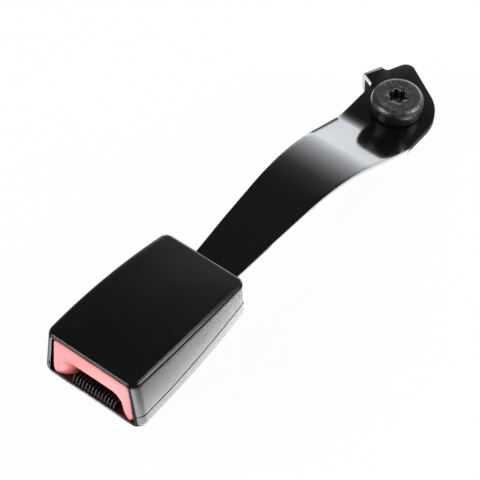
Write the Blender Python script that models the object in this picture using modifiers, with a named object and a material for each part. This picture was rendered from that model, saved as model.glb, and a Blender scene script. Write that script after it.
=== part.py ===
"""Seat belt buckle on a rigid steel strap.

A plastic housing in two halves holds a folded steel frame with its latch, ejector and press button.
A flat steel strap runs from the frame, down a long bend, to an anchor plate with its bolt.

Units are metres and +Z is up. The origin is on the bolt's axis at the underside of the anchor plate.
The mouth of the buckle faces -Y and +X is to the right of someone who looks into it.
"""
import math

import bmesh
import bpy
import numpy as np
from mathutils import Matrix, Vector

MM = 0.001

# Overall places
reach = 211.0 * MM            # bolt axis to the mouth of the housing
deck_rise = 14.0 * MM         # underside of the anchor plate up to the underside of the housing

# Housing, outer form
housing_length = 73.2 * MM
mouth_top_width = 45.3 * MM
tail_top_width = 41.9 * MM
mouth_foot_width = 52.0 * MM
tail_foot_width = 45.3 * MM
mouth_height = 26.1 * MM
tail_height = 19.4 * MM
top_crown = 1.5 * MM
side_bulge = 1.2 * MM
top_edge_radius = 2.2 * MM
foot_edge_radius = 2.4 * MM
lip_radius = 1.2 * MM
mouth_turn_radius = 5.2 * MM  # the sides turn in towards the mouth
mouth_turn_depth = 4.4 * MM
tail_corner_radius = 3.2 * MM
tail_edge_radius = 1.4 * MM
cover_wall = 1.6 * MM
floor_wall = 1.4 * MM
mouth_parting_height = 6.7 * MM
tail_parting_height = 8.6 * MM
parting_gap = 0.3 * MM

# Clearances
seat_gap = 0.3 * MM           # between pieces that rest on each other
running_gap = 0.4 * MM        # between pieces that move past each other
hole_gap = 0.3 * MM           # radial, round pins and rivets

# Frame, one folded sheet
frame_sheet = 1.8 * MM
frame_inner_width = 25.2 * MM
frame_wall_height = 13.3 * MM
frame_nose = 9.3 * MM         # from the mouth
frame_wall_start = 15.6 * MM
frame_wall_end = 58.0 * MM
frame_tail = 62.0 * MM
frame_fold_radius = 2.4 * MM

# Strap
strap_thickness = 3.0 * MM
strap_tongue_width = 20.8 * MM
tongue_corner_radius = 2.0 * MM
strap_head_width = 35.6 * MM
strap_start = 41.0 * MM       # from the mouth
rise_start = 82.0 * MM        # from the mouth
crest_run = 18.5 * MM         # from the start of the rise
crest_rise = 1.45 * MM        # over the strap's height in the housing
knee_run = 45.7 * MM          # ahead of the foot bend
knee_rise = 3.2 * MM
foot_reach = 18.3 * MM        # back from the bolt axis
rise_bend_radius = 80.0 * MM
crest_bend_radius = 200.0 * MM
knee_bend_radius = 100.0 * MM
foot_bend_radius = 20.0 * MM
head_start = 15.8 * MM        # where the long sides end, back from the bolt axis
side_swell = 0.45 * MM
exit_gap = 0.5 * MM

# Anchor plate outline and its turned-down tab
end_edge_angle = math.radians(31.0)
end_edge_reach = 20.7 * MM
end_round_radius = 21.0 * MM
end_corner_radius = 4.2 * MM
head_side_angle = math.radians(25.6)
head_side_offset = 22.9 * MM
tab_angle = math.radians(24.8)
tab_width = 9.3 * MM
tab_reach = 27.9 * MM
tab_side_offset = 2.6 * MM
tab_notch_radius = 2.2 * MM
tab_root_radius = 3.0 * MM
tab_drop = 13.5 * MM
tab_bend_radius = 3.6 * MM

# Anchor bolt, bush and keeper
bolt_head_radius = 12.0 * MM
bolt_head_height = 8.7 * MM
bolt_flat_radius = 9.3 * MM   # where the top starts to round over
bolt_round_width = 2.3 * MM
bolt_round_drop = 1.8 * MM
bolt_belly_low = 3.7 * MM     # the widest part of the head, over its foot
bolt_belly_high = 4.9 * MM
bolt_foot_radius = 11.3 * MM
bolt_shoulder_radius = 6.4 * MM
bolt_thread_radius = 5.5 * MM
bolt_thread_length = 16.0 * MM
bolt_tip_chamfer = 1.2 * MM
recess_tip_radius = 4.42 * MM
recess_root_radius = 3.15 * MM
recess_depth = 5.0 * MM
recess_turn = math.radians(14.3)
recess_lobes = 6
bush_wall = 1.2 * MM
keeper_thickness = 1.6 * MM
keeper_radius = 9.4 * MM
keeper_play = 2.2 * MM        # how far the bolt lifts before the keeper stops it

# Tongue guide with its comb of ribs
guide_start = 1.3 * MM
guide_width = 21.8 * MM
guide_ramp_length = 2.7 * MM
guide_ramp_rise = 1.5 * MM
guide_step = 0.3 * MM          # height of the guide's front edge
rib_pitch = 1.6 * MM
rib_width = 0.7 * MM
rib_height = 0.9 * MM

# Press button
button_setback = 0.65 * MM
button_travel = 6.0 * MM
button_depth = 8.2 * MM
button_side_gap = 2.5 * MM
button_top_gap = 1.1 * MM
button_foot_radius = 3.0 * MM
arch_height = 12.5 * MM
arch_mouth_width = 35.0 * MM
arch_throat_width = 22.8 * MM
arch_mouth_radius = 6.0 * MM
arch_throat_radius = 2.5 * MM
throat_depth = 6.4 * MM
roof_length = 25.4 * MM
roof_thickness = 2.0 * MM
arm_width = 3.8 * MM
arm_length = 30.3 * MM
arm_tail_height = 3.8 * MM

# Latch, its pins and spring
latch_sheet = 2.2 * MM
latch_side_gap = 0.8 * MM     # between the latch and the frame's walls
latch_nose = 17.2 * MM        # from the mouth
latch_height = 8.2 * MM       # underside over the floor of the housing
latch_swing = math.radians(12.0)
dog_width = 11.6 * MM
dog_depth = 2.6 * MM
dog_tip_height = 2.2 * MM
ear_thickness = 1.9 * MM
pivot_place = 40.0 * MM       # from the mouth
pivot_height = 11.2 * MM
pivot_radius = 1.8 * MM
pin_head_radius = 3.0 * MM
pin_head_thickness = 1.2 * MM
clip_thickness = 0.7 * MM
clip_outer_radius = 3.4 * MM
clip_opening = math.radians(50.0)
groove_depth = 0.5 * MM
lift_pin_place = 24.0 * MM
lift_pin_height = 12.2 * MM
lift_pin_radius = 1.5 * MM
lug_wall = 1.6 * MM
latch_coil_radius = 2.6 * MM
latch_coil_turns = 6
latch_coil_width = 10.0 * MM
latch_wire_radius = 0.35 * MM
latch_leg_reach = 10.4 * MM   # the leg on the latch, forward of the pivot
frame_leg_bend = 4.2 * MM     # the leg on the strap, back of the pivot
frame_leg_reach = 5.5 * MM

# Ejector and its spring
ejector_travel = 8.0 * MM
ejector_length = 7.0 * MM
ejector_width = 15.0 * MM
ejector_height = 3.8 * MM
ejector_foot_width = 7.2 * MM
ejector_foot_depth = 1.5 * MM
ejector_edge = 0.3 * MM
ejector_coil_radius = 1.6 * MM
ejector_coil_turns = 6

# Return springs of the button, with their posts
button_coil_radius = 1.7 * MM
button_coil_turns = 6
button_coil_length = 14.0 * MM
coil_wire_radius = 0.3 * MM
post_thickness = 2.4 * MM
post_height = 7.0 * MM
peg_radius = 1.0 * MM
peg_length = 3.5 * MM

# Rivets, pad and snap hooks
rivet_place = 52.5 * MM       # from the mouth
rivet_spacing = 10.4 * MM
rivet_radius = 2.2 * MM
rivet_head_radius = 4.0 * MM
rivet_head_height = 1.6 * MM
pad_start = 44.0 * MM
pad_length = 12.0 * MM
pad_edge = 0.6 * MM
hook_thickness = 1.3 * MM
hook_width = 5.0 * MM
hook_depth = 5.0 * MM
hook_places = (33.0 * MM, 60.0 * MM)

# Places that follow from the sizes
mouth_y = -reach
tail_y = mouth_y + housing_length
base_bottom = deck_rise + floor_wall + seat_gap
base_top = base_bottom + frame_sheet
strap_level = base_top + seat_gap
frame_outer_width = frame_inner_width + 2 * frame_sheet
latch_width = frame_inner_width - 2 * latch_side_gap
rib_count = int((guide_width - rib_width) / rib_pitch) + 1
pivot_y = mouth_y + pivot_place
pivot_z = deck_rise + pivot_height
lift_pin_y = mouth_y + lift_pin_place
lift_pin_z = deck_rise + lift_pin_height
arm_inner = frame_outer_width / 2 + running_gap + seat_gap
arm_middle = arm_inner + arm_width / 2
arm_bottom = base_bottom + running_gap
arm_tail_top = arm_bottom + arm_tail_height
arm_tail_y = mouth_y + button_setback + arm_length
post_y = arm_tail_y + 2 * seat_gap + button_coil_length
rivet_y = mouth_y + rivet_place
ejector_y = mouth_y + latch_nose + dog_depth + 2 * running_gap
hole_radius = bolt_shoulder_radius + hole_gap + bush_wall + hole_gap

parts = bpy.data.collections.new("seat_belt_buckle")
tools = bpy.data.collections.new("cutters")


def clear_scene():
    """Remove every object of the open scene and link this part's two collections."""
    for item in list(bpy.data.objects):
        bpy.data.objects.remove(item, do_unlink=True)
    bpy.context.scene.collection.children.link(parts)
    bpy.context.scene.collection.children.link(tools)


def material(name, colour, roughness, metallic=0.0):
    """A plain Principled material."""
    result = bpy.data.materials.new(name)
    result.use_nodes = True
    shader = result.node_tree.nodes["Principled BSDF"]
    shader.inputs["Base Color"].default_value = (*colour, 1.0)
    shader.inputs["Roughness"].default_value = roughness
    shader.inputs["Metallic"].default_value = metallic
    result.diffuse_color = (*colour, 1.0)
    return result


def add_object(name, data):
    """Link a new object that shows the given mesh or curve."""
    item = bpy.data.objects.new(name, data)
    parts.objects.link(item)
    return item


def as_tool(item):
    """Keep an object only as an operand of Booleans."""
    parts.objects.unlink(item)
    tools.objects.link(item)
    item.hide_render = True
    item.display_type = "WIRE"
    return item


def combine(item, tool, operation):
    """Add a Boolean with the tool."""
    step = item.modifiers.new(tool.name, "BOOLEAN")
    step.operation = operation
    step.solver = "EXACT"
    step.object = as_tool(tool)
    return item


def cut(item, tool):
    """Take the tool's volume away."""
    return combine(item, tool, "DIFFERENCE")


def join(item, tool):
    """Add the tool's volume."""
    return combine(item, tool, "UNION")


def keep_inside(item, tool):
    """Keep only what lies in the tool's volume."""
    return combine(item, tool, "INTERSECT")


def finish(item, look):
    """Give a piece its material and smooth its round faces."""
    item.data.materials.append(look)
    if item.type == "MESH":
        item.data.shade_smooth()
        item.data.set_sharp_from_angle(angle=math.radians(35.0))
    return item


def box(name, low, high):
    """A box between two corners."""
    shape = bmesh.new()
    bmesh.ops.create_cube(shape, size=1.0)
    low = Vector(low)
    high = Vector(high)
    place = Matrix.Translation((low + high) / 2) @ Matrix.Diagonal((*(high - low), 1.0))
    bmesh.ops.transform(shape, matrix=place, verts=shape.verts)
    mesh = bpy.data.meshes.new(name)
    shape.to_mesh(mesh)
    shape.free()
    return add_object(name, mesh)


def soften(item, width, segments=2, angle=40.0):
    """Round the edges that are sharper than the angle."""
    step = item.modifiers.new("edge", "BEVEL")
    step.width = width
    step.segments = segments
    step.limit_method = "ANGLE"
    step.angle_limit = math.radians(angle)
    return item


def rounded(corners, steps=5):
    """Corners given as (u, v, radius) become an outline with an arc at each radius."""
    count = len(corners)
    points = []
    for index in range(count):
        u, v, radius = corners[index]
        if radius <= 0.0:
            points.append((u, v))
            continue
        here = np.array((u, v))
        back = np.array(corners[index - 1][:2]) - here
        ahead = np.array(corners[(index + 1) % count][:2]) - here
        back = back / np.linalg.norm(back)
        ahead = ahead / np.linalg.norm(ahead)
        half = math.acos(max(-1.0, min(1.0, float(back @ ahead)))) / 2
        middle = back + ahead
        middle = middle / np.linalg.norm(middle)
        centre = here + middle * (radius / math.sin(half))
        start = here + back * (radius / math.tan(half)) - centre
        side = here + ahead * (radius / math.tan(half)) - centre
        turn = math.atan2(start[0] * side[1] - start[1] * side[0], float(start @ side))
        for step in range(steps + 1):
            angle = turn * step / steps
            cosine = math.cos(angle)
            sine = math.sin(angle)
            points.append((centre[0] + start[0] * cosine - start[1] * sine,
                           centre[1] + start[0] * sine + start[1] * cosine))
    return points


def prism(name, outline, low, high, along="Z"):
    """Extrude a flat outline from low to high along X, Y or Z.

    The outline is in (Y, Z) along X, in (X, Z) along Y and in (X, Y) along Z.
    """
    curve = bpy.data.curves.new(name, "CURVE")
    curve.dimensions = "2D"
    curve.fill_mode = "BOTH"
    curve.extrude = (high - low) / 2
    spline = curve.splines.new("POLY")
    spline.points.add(len(outline) - 1)
    for point, (u, v) in zip(spline.points, outline):
        point.co = (u, v, 0.0, 1.0)
    spline.use_cyclic_u = True
    flat = bpy.data.objects.new(name, curve)
    parts.objects.link(flat)
    bpy.context.view_layer.update()
    ready = flat.evaluated_get(bpy.context.evaluated_depsgraph_get())
    mesh = bpy.data.meshes.new_from_object(ready)
    bpy.data.objects.remove(flat, do_unlink=True)
    middle = (low + high) / 2
    turns = {
        "X": Matrix(((0, 0, 1, middle), (1, 0, 0, 0), (0, 1, 0, 0), (0, 0, 0, 1))),
        "Y": Matrix(((1, 0, 0, 0), (0, 0, -1, middle), (0, 1, 0, 0), (0, 0, 0, 1))),
        "Z": Matrix.Translation((0, 0, middle)),
    }
    shape = bmesh.new()
    shape.from_mesh(mesh)
    bmesh.ops.transform(shape, matrix=turns[along], verts=shape.verts)
    bmesh.ops.remove_doubles(shape, verts=shape.verts, dist=0.000001)
    bmesh.ops.recalc_face_normals(shape, faces=shape.faces)
    shape.to_mesh(mesh)
    shape.free()
    mesh.name = name
    return add_object(name, mesh)


def loft(name, rings):
    """A closed body through rings of equally many points."""
    shape = bmesh.new()
    rows = [[shape.verts.new(point) for point in ring] for ring in rings]
    count = len(rows[0])
    for row, following in zip(rows, rows[1:]):
        for index in range(count):
            after = (index + 1) % count
            shape.faces.new((row[index], row[after], following[after], following[index]))
    shape.faces.new(rows[0])
    shape.faces.new(rows[-1])
    bmesh.ops.recalc_face_normals(shape, faces=shape.faces)
    mesh = bpy.data.meshes.new(name)
    shape.to_mesh(mesh)
    shape.free()
    return add_object(name, mesh)


def turned(name, profile, steps=32, closed=False, place=(0, 0, 0), along="Z"):
    """Spin a profile of (radius, height) points about an axis through the place."""
    mesh = bpy.data.meshes.new(name)
    edges = [(index, index + 1) for index in range(len(profile) - 1)]
    if closed:
        edges.append((len(profile) - 1, 0))
    mesh.from_pydata([(radius, 0.0, height) for radius, height in profile], edges, [])
    item = add_object(name, mesh)
    step = item.modifiers.new("turn", "SCREW")
    step.steps = steps
    step.render_steps = steps
    step.use_merge_vertices = True
    step.merge_threshold = 0.00001
    item.location = place
    if along == "X":
        item.rotation_euler = (0, math.radians(90.0), 0)
    if along == "Y":
        item.rotation_euler = (math.radians(-90.0), 0, 0)
    return item


def rod(name, radius, low, high, place, along="X", steps=24):
    """A plain round bar from low to high along X, Y or Z through the place."""
    profile = [(0.0, high), (radius, high), (radius, low), (0.0, low)]
    return turned(name, profile, steps=steps, place=place, along=along)


def wire(name, points, radius):
    """A round wire through the points."""
    curve = bpy.data.curves.new(name, "CURVE")
    curve.dimensions = "3D"
    curve.bevel_depth = radius
    curve.bevel_resolution = 2
    curve.use_fill_caps = True
    spline = curve.splines.new("POLY")
    spline.points.add(len(points) - 1)
    for point, place in zip(spline.points, points):
        point.co = (*place, 1.0)
    return add_object(name, curve)


def coil_points(radius, turns, length, per_turn=9):
    """Points of a helix about +Z from the origin."""
    count = turns * per_turn
    share = np.linspace(0.0, 1.0, count + 1)
    angle = share * turns * 2.0 * math.pi
    return np.stack([radius * np.cos(angle), radius * np.sin(angle), length * share], axis=1)


def housing_share(depth):
    """How far along the housing a depth from the mouth lies, from 0 to 1."""
    return min(max(depth / housing_length, 0.0), 1.0)


def housing_top(depth):
    """Height of the housing's top over its underside."""
    share = housing_share(depth)
    return mouth_height + (tail_height - mouth_height) * share + top_crown * 4 * share * (1 - share)


def housing_half(depth, height):
    """Half of the housing's width at a depth and a height over its underside."""
    share = housing_share(depth)
    top_half = (mouth_top_width + (tail_top_width - mouth_top_width) * share) / 2
    foot_half = (mouth_foot_width + (tail_foot_width - mouth_foot_width) * share) / 2
    rise = height / housing_top(depth)
    return foot_half + (top_half - foot_half) * rise + side_bulge * 4 * share * (1 - share)


def round_loss(radius, distance):
    """How far a quarter round has drawn in at a distance past its start."""
    distance = min(max(distance, 0.0), radius)
    return radius - math.sqrt(radius * radius - distance * distance)


def mouth_turn(depth):
    """How far the housing's sides have turned in at a depth from the mouth."""
    return round_loss(mouth_turn_radius, mouth_turn_depth - depth)


def housing_ring(depth, side_inset, top_inset, foot_inset, top_radius, foot_radius):
    """One cross-section of the housing's form, drawn in by the insets."""
    top = housing_top(depth) - top_inset
    foot = foot_inset
    top_half = housing_half(depth, top) - side_inset
    foot_half = housing_half(depth, foot) - side_inset
    corners = [
        (foot_half, foot, foot_radius),
        (top_half, top, top_radius),
        (-top_half, top, top_radius),
        (-foot_half, foot, foot_radius),
    ]
    return [(x, mouth_y + depth, deck_rise + z) for x, z in rounded(corners, steps=4)]


def housing_form(name):
    """The outer form of the closed housing."""
    rings = []
    for depth in (0.0, lip_radius * 0.3, lip_radius, *np.linspace(lip_radius, mouth_turn_depth, 4)[1:]):
        inset = round_loss(lip_radius, lip_radius - depth)
        rings.append(housing_ring(depth, mouth_turn(depth), inset, inset, top_edge_radius, foot_edge_radius))
    body_end = housing_length - tail_corner_radius
    for depth in np.linspace(mouth_turn_depth, body_end, 9)[1:]:
        rings.append(housing_ring(depth, 0.0, 0.0, 0.0, top_edge_radius, foot_edge_radius))
    for step in range(1, 7):
        depth = body_end + tail_corner_radius * math.sin(math.pi / 2 * step / 6)
        side = round_loss(tail_corner_radius, depth - body_end)
        edge = round_loss(tail_edge_radius, depth - housing_length + tail_edge_radius)
        rings.append(housing_ring(depth, side, edge, edge, top_edge_radius, foot_edge_radius))
    return loft(name, rings)


def housing_hollow(name):
    """The room inside both covers, open at the mouth."""
    rings = []
    inner_corner = tail_corner_radius - cover_wall
    body_end = housing_length - tail_corner_radius
    top_radius = top_edge_radius - cover_wall / 2
    foot_radius = foot_edge_radius - floor_wall
    first = housing_ring(0.0, cover_wall + mouth_turn(0.0), cover_wall, floor_wall, top_radius, foot_radius)
    rings.append([(x, y - lip_radius, z) for x, y, z in first])
    for depth in (0.0, lip_radius, *np.linspace(lip_radius, mouth_turn_depth, 4)[1:]):
        side = cover_wall + mouth_turn(depth)
        rings.append(housing_ring(depth, side, cover_wall, floor_wall, top_radius, foot_radius))
    for depth in np.linspace(mouth_turn_depth, body_end, 9)[1:]:
        rings.append(housing_ring(depth, cover_wall, cover_wall, floor_wall, top_radius, foot_radius))
    for step in range(1, 5):
        depth = body_end + inner_corner * math.sin(math.pi / 2 * step / 4)
        side = cover_wall + round_loss(inner_corner, depth - body_end)
        rings.append(housing_ring(depth, side, cover_wall, floor_wall, top_radius, foot_radius))
    return loft(name, rings)


def parting_line(lift):
    """The seam between the covers, seen from the side, raised by a lift."""
    points = []
    for share in np.linspace(0.0, 1.0, 13):
        blend = share * share * (3 - 2 * share)
        height = mouth_parting_height + (tail_parting_height - mouth_parting_height) * blend
        points.append((mouth_y + housing_length * share, deck_rise + height + lift))
    spare = tail_corner_radius
    points[0] = (points[0][0] - spare, points[0][1])
    points[-1] = (points[-1][0] + spare, points[-1][1])
    return points


def make_upper_cover(look):
    """Top, sides and tail of the housing, in one moulding."""
    cover = housing_form("upper_cover")
    line = parting_line(parting_gap)
    sky = deck_rise + 2 * mouth_height
    above = line + [(line[-1][0], sky), (line[0][0], sky)]
    keep_inside(cover, prism("upper_region", above, -mouth_foot_width, mouth_foot_width, "X"))
    cut(cover, housing_hollow("upper_hollow"))
    for side in (-1, 1):
        for index, depth in enumerate(hook_places):
            name = "hook_%d_%d" % (side, index)
            height = tail_parting_height + hook_depth / 2
            wall = housing_half(depth, height) - cover_wall
            low = deck_rise + mouth_parting_height - hook_depth / 2
            high = deck_rise + height
            edges = sorted((side * (wall - hook_thickness), side * (wall + cover_wall / 2)))
            root = box(name + "_root", (edges[0], mouth_y + depth - hook_width / 2, high - hook_depth / 2),
                       (edges[1], mouth_y + depth + hook_width / 2, high))
            join(cover, root)
            edges = sorted((side * (wall - hook_thickness), side * (wall - seat_gap)))
            arm = box(name + "_arm", (edges[0], mouth_y + depth - hook_width / 2, low),
                      (edges[1], mouth_y + depth + hook_width / 2, high - hook_depth / 4))
            join(cover, arm)
    return finish(cover, look)


def make_lower_cover(look):
    """The tray that closes the housing from below, with the posts for the springs."""
    cover = housing_form("lower_cover")
    line = parting_line(0.0)
    ground = deck_rise - mouth_height
    below = line + [(line[-1][0], ground), (line[0][0], ground)]
    keep_inside(cover, prism("lower_region", below, -mouth_foot_width, mouth_foot_width, "X"))
    cut(cover, housing_hollow("lower_hollow"))
    exit_half = strap_tongue_width / 2 + exit_gap
    slot = box("strap_exit", (-exit_half, tail_y - tail_corner_radius, strap_level - exit_gap),
               (exit_half, tail_y + tail_corner_radius, strap_level + strap_thickness + exit_gap))
    cut(cover, slot)
    for side in (-1, 1):
        middle = side * arm_middle
        post = box("post_%d" % side, (middle - arm_width / 2, post_y, deck_rise + floor_wall / 2),
                   (middle + arm_width / 2, post_y + post_thickness, deck_rise + post_height))
        join(cover, post)
        peg_z = (arm_bottom + arm_tail_top) / 2
        peg = rod("peg_%d" % side, peg_radius, -peg_length, post_thickness / 2,
                  (middle, post_y, peg_z), along="Y", steps=12)
        join(cover, peg)
    return finish(cover, look)


def make_frame(look):
    """The folded steel channel that carries the latch, the ejector and the load."""
    outer = frame_outer_width / 2
    inner = frame_inner_width / 2
    wall_top = base_bottom + frame_wall_height
    inner_radius = frame_fold_radius - frame_sheet
    section = rounded([
        (-outer, wall_top, 0.0),
        (-outer, base_bottom, frame_fold_radius),
        (outer, base_bottom, frame_fold_radius),
        (outer, wall_top, 0.0),
        (inner, wall_top, 0.0),
        (inner, base_top, inner_radius),
        (-inner, base_top, inner_radius),
        (-inner, wall_top, 0.0),
    ], steps=4)
    frame = prism("buckle_frame", section, mouth_y + frame_nose, mouth_y + frame_tail, "Y")
    fold_top = base_bottom + frame_fold_radius
    front = rounded([
        (mouth_y, fold_top, 0.0),
        (mouth_y + frame_wall_start, fold_top, 2 * frame_sheet),
        (mouth_y + frame_wall_start + frame_sheet, wall_top + frame_sheet, 0.0),
        (mouth_y, wall_top + frame_sheet, 0.0),
    ])
    cut(frame, prism("frame_front_trim", front, -frame_outer_width, frame_outer_width, "X"))
    rear = rounded([
        (mouth_y + frame_wall_end, fold_top, 2 * frame_sheet),
        (tail_y, fold_top, 0.0),
        (tail_y, wall_top + frame_sheet, 0.0),
        (mouth_y + frame_wall_end - 2 * frame_sheet, wall_top + frame_sheet, 0.0),
    ])
    cut(frame, prism("frame_rear_trim", rear, -frame_outer_width, frame_outer_width, "X"))
    window_half = dog_width / 2 + 2 * running_gap
    window_start = mouth_y + latch_nose - 3 * running_gap
    window = box("dog_window", (-window_half, window_start, base_bottom - frame_sheet),
                 (window_half, ejector_y, base_top + frame_sheet / 4))
    cut(frame, window)
    slot_end = ejector_y + ejector_length + ejector_travel + 2 * running_gap
    slot = box("ejector_slot",
               (-ejector_foot_width / 2 - running_gap, ejector_y - running_gap, base_bottom - frame_sheet),
               (ejector_foot_width / 2 + running_gap, slot_end, base_top + frame_sheet / 4))
    cut(frame, slot)
    notch_half = lift_pin_radius + 2 * running_gap
    notch = box("lift_notch",
                (-frame_outer_width, lift_pin_y - notch_half, lift_pin_z - notch_half),
                (frame_outer_width, lift_pin_y + notch_half + running_gap, wall_top + frame_sheet))
    cut(frame, notch)
    bore = rod("pivot_bore", pivot_radius + hole_gap, -frame_outer_width, frame_outer_width,
               (0, pivot_y, pivot_z))
    cut(frame, bore)
    nose_half = arch_throat_width / 2 - running_gap
    relief_end = mouth_y + button_setback + button_depth + button_travel + 2 * running_gap
    for side in (-1, 1):
        edges = sorted((side * nose_half, side * frame_outer_width))
        relief = box("button_relief_%d" % side, (edges[0], mouth_y, base_bottom - frame_sheet),
                     (edges[1], relief_end, wall_top + frame_sheet))
        cut(frame, relief)
        hole = turned("rivet_seat_%d" % side, rivet_profile(hole_gap), steps=24,
                      place=(side * rivet_spacing / 2, rivet_y, 0))
        cut(frame, hole)
    return finish(frame, look)


def rivet_profile(spare):
    """Profile of a rivet with a domed head and a flush foot, or of the seat for it."""
    top = strap_level + strap_thickness + seat_gap
    foot = base_bottom - spare
    shank = rivet_radius + spare
    flare = shank + frame_sheet / 2
    points = []
    if spare > 0.0:
        points = [(0.0, top + rivet_head_height), (shank, top + rivet_head_height)]
    else:
        for step in range(6):
            angle = math.pi / 2 * step / 5
            points.append((rivet_head_radius * math.sin(angle), top + rivet_head_height * math.cos(angle)))
        points.append((shank, top))
    points.append((shank, base_bottom + frame_sheet / 2))
    points.append((flare, foot))
    points.append((0.0, foot))
    return points


def make_rivet(name, side, look):
    """One of the two rivets that hold the strap on the frame."""
    rivet = turned(name, rivet_profile(0.0), steps=24, place=(side * rivet_spacing / 2, rivet_y, 0))
    return finish(rivet, look)


def strap_path():
    """Top line of the strap from the side, as (y, z, bend radius) corners."""
    level = strap_level + strap_thickness
    return [
        (mouth_y + strap_start, level, 0.0),
        (mouth_y + rise_start, level, rise_bend_radius),
        (mouth_y + rise_start + crest_run, level + crest_rise, crest_bend_radius),
        (-foot_reach - knee_run, level + knee_rise, knee_bend_radius),
        (-foot_reach, strap_thickness, foot_bend_radius),
        (tab_reach + tab_width, strap_thickness, 0.0),
    ]


def offset_line(points, distance):
    """An open line moved to its left by a distance."""
    line = np.array(points)
    slopes = np.gradient(line, axis=0)
    slopes = slopes / np.linalg.norm(slopes, axis=1)[:, None]
    return line + distance * np.stack([-slopes[:, 1], slopes[:, 0]], axis=1)


def strap_side_outline():
    """The bent sheet seen from the side."""
    top = rounded(strap_path(), steps=10)
    under = offset_line(top, -strap_thickness)
    under[0] = (top[0][0], top[0][1] - strap_thickness)
    under[-1] = (top[-1][0], top[-1][1] - strap_thickness)
    return [tuple(point) for point in top] + [tuple(point) for point in under[::-1]]


def line_meet(first, first_way, second, second_way):
    """Where two lines in the plane meet."""
    across = np.array([first_way, [-second_way[0], -second_way[1]]]).T
    share = np.linalg.solve(across, np.array(second) - np.array(first))[0]
    return np.array(first) + share * np.array(first_way)


def tab_frame():
    """Origin, outward way and sideways way of the turned-down tab, in plan."""
    outward = np.array((-math.cos(tab_angle), math.sin(tab_angle)))
    sideways = np.array((math.sin(tab_angle), math.cos(tab_angle)))
    return outward * tab_reach + sideways * tab_side_offset, outward, sideways


def strap_plan_outline():
    """The cut outline of the strap in plan."""
    half_head = strap_head_width / 2
    half_tongue = strap_tongue_width / 2
    end_way = np.array((-math.cos(end_edge_angle), math.sin(end_edge_angle)))
    end_point = (0.0, end_edge_reach)
    right_corner = line_meet(end_point, end_way, (half_head, 0.0), (0.0, 1.0))
    side_way = np.array((math.sin(head_side_angle), math.cos(head_side_angle)))
    side_point = np.array((-side_way[1], side_way[0])) * head_side_offset
    left_corner = line_meet(end_point, end_way, side_point, side_way)
    tab_middle, outward, sideways = tab_frame()
    tab_far = tab_middle + sideways * tab_width / 2
    tab_near = tab_middle - sideways * tab_width / 2
    notch = line_meet(tab_far, outward, side_point, side_way)
    root = line_meet(tab_near, outward, (-half_head, 0.0), (0.0, 1.0))
    taper_y = tail_y
    start_y = mouth_y + strap_start
    head_y = -head_start
    corners = [
        (half_tongue, start_y, tongue_corner_radius),
        (half_tongue, taper_y, 0.0),
        *[(x, y, 0.0) for x, y in edge_swell(half_tongue, half_head, taper_y, head_y)],
        (half_head, head_y, 0.0),
        (*right_corner, end_round_radius),
        (*left_corner, end_corner_radius),
        (*notch, tab_notch_radius),
        (*tab_far, 0.0),
        (*tab_near, 0.0),
        (*root, tab_root_radius),
        (-half_head, head_y, 0.0),
        *[(-x, y, 0.0) for x, y in edge_swell(half_tongue, half_head, taper_y, head_y)[::-1]],
        (-half_tongue, taper_y, 0.0),
        (-half_tongue, start_y, tongue_corner_radius),
    ]
    return rounded(corners)


def edge_swell(half_start, half_end, start_y, end_y):
    """Points of the long side between tongue and head, which swells a little."""
    shares = np.linspace(0.0, 1.0, 9)[1:-1]
    half = half_start + (half_end - half_start) * shares + side_swell * np.sin(np.pi * shares)
    return list(zip(half, start_y + (end_y - start_y) * shares))


def make_strap(look):
    """The steel strap with its anchor plate and turned-down tab."""
    wide = tab_reach + strap_head_width
    strap = prism("anchor_strap", strap_side_outline(), -wide, wide, "X")
    tab_middle, outward, sideways = tab_frame()
    spare = tab_width / 2 + tab_notch_radius / 2
    flange = box("tab_flange", (-strap_thickness, -spare, strap_thickness - tab_drop),
                 (strap_thickness, spare, strap_thickness / 2))
    turn = math.atan2(outward[1], outward[0])
    place = Matrix.Translation((*tab_middle, 0.0)) @ Matrix.Rotation(turn, 4, "Z")
    flange.data.transform(place)
    join(strap, flange)
    plan = prism("strap_plan", strap_plan_outline(), -strap_head_width, deck_rise + mouth_height, "Z")
    keep_inside(strap, plan)
    bend = [(0.0, strap_thickness - tab_bend_radius)]
    for step in range(7):
        angle = math.pi / 2 * step / 6
        bend.append((tab_bend_radius * (math.cos(angle) - 1),
                     strap_thickness + tab_bend_radius * (math.sin(angle) - 1)))
    bend += [(-tab_bend_radius, 2 * strap_thickness), (strap_thickness, 2 * strap_thickness),
             (strap_thickness, strap_thickness - tab_bend_radius)]
    shave = prism("tab_bend", bend, -tab_width, tab_width, "Y")
    shave.data.transform(place)
    cut(strap, shave)
    cut(strap, rod("anchor_hole", hole_radius, -strap_thickness, 2 * strap_thickness, (0, 0, 0), "Z", 48))
    for side in (-1, 1):
        hole = rod("strap_rivet_%d" % side, rivet_radius + hole_gap, strap_level - strap_thickness,
                   strap_level + 2 * strap_thickness, (side * rivet_spacing / 2, rivet_y, 0), "Z")
        cut(strap, hole)
    return finish(strap, look)


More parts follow.
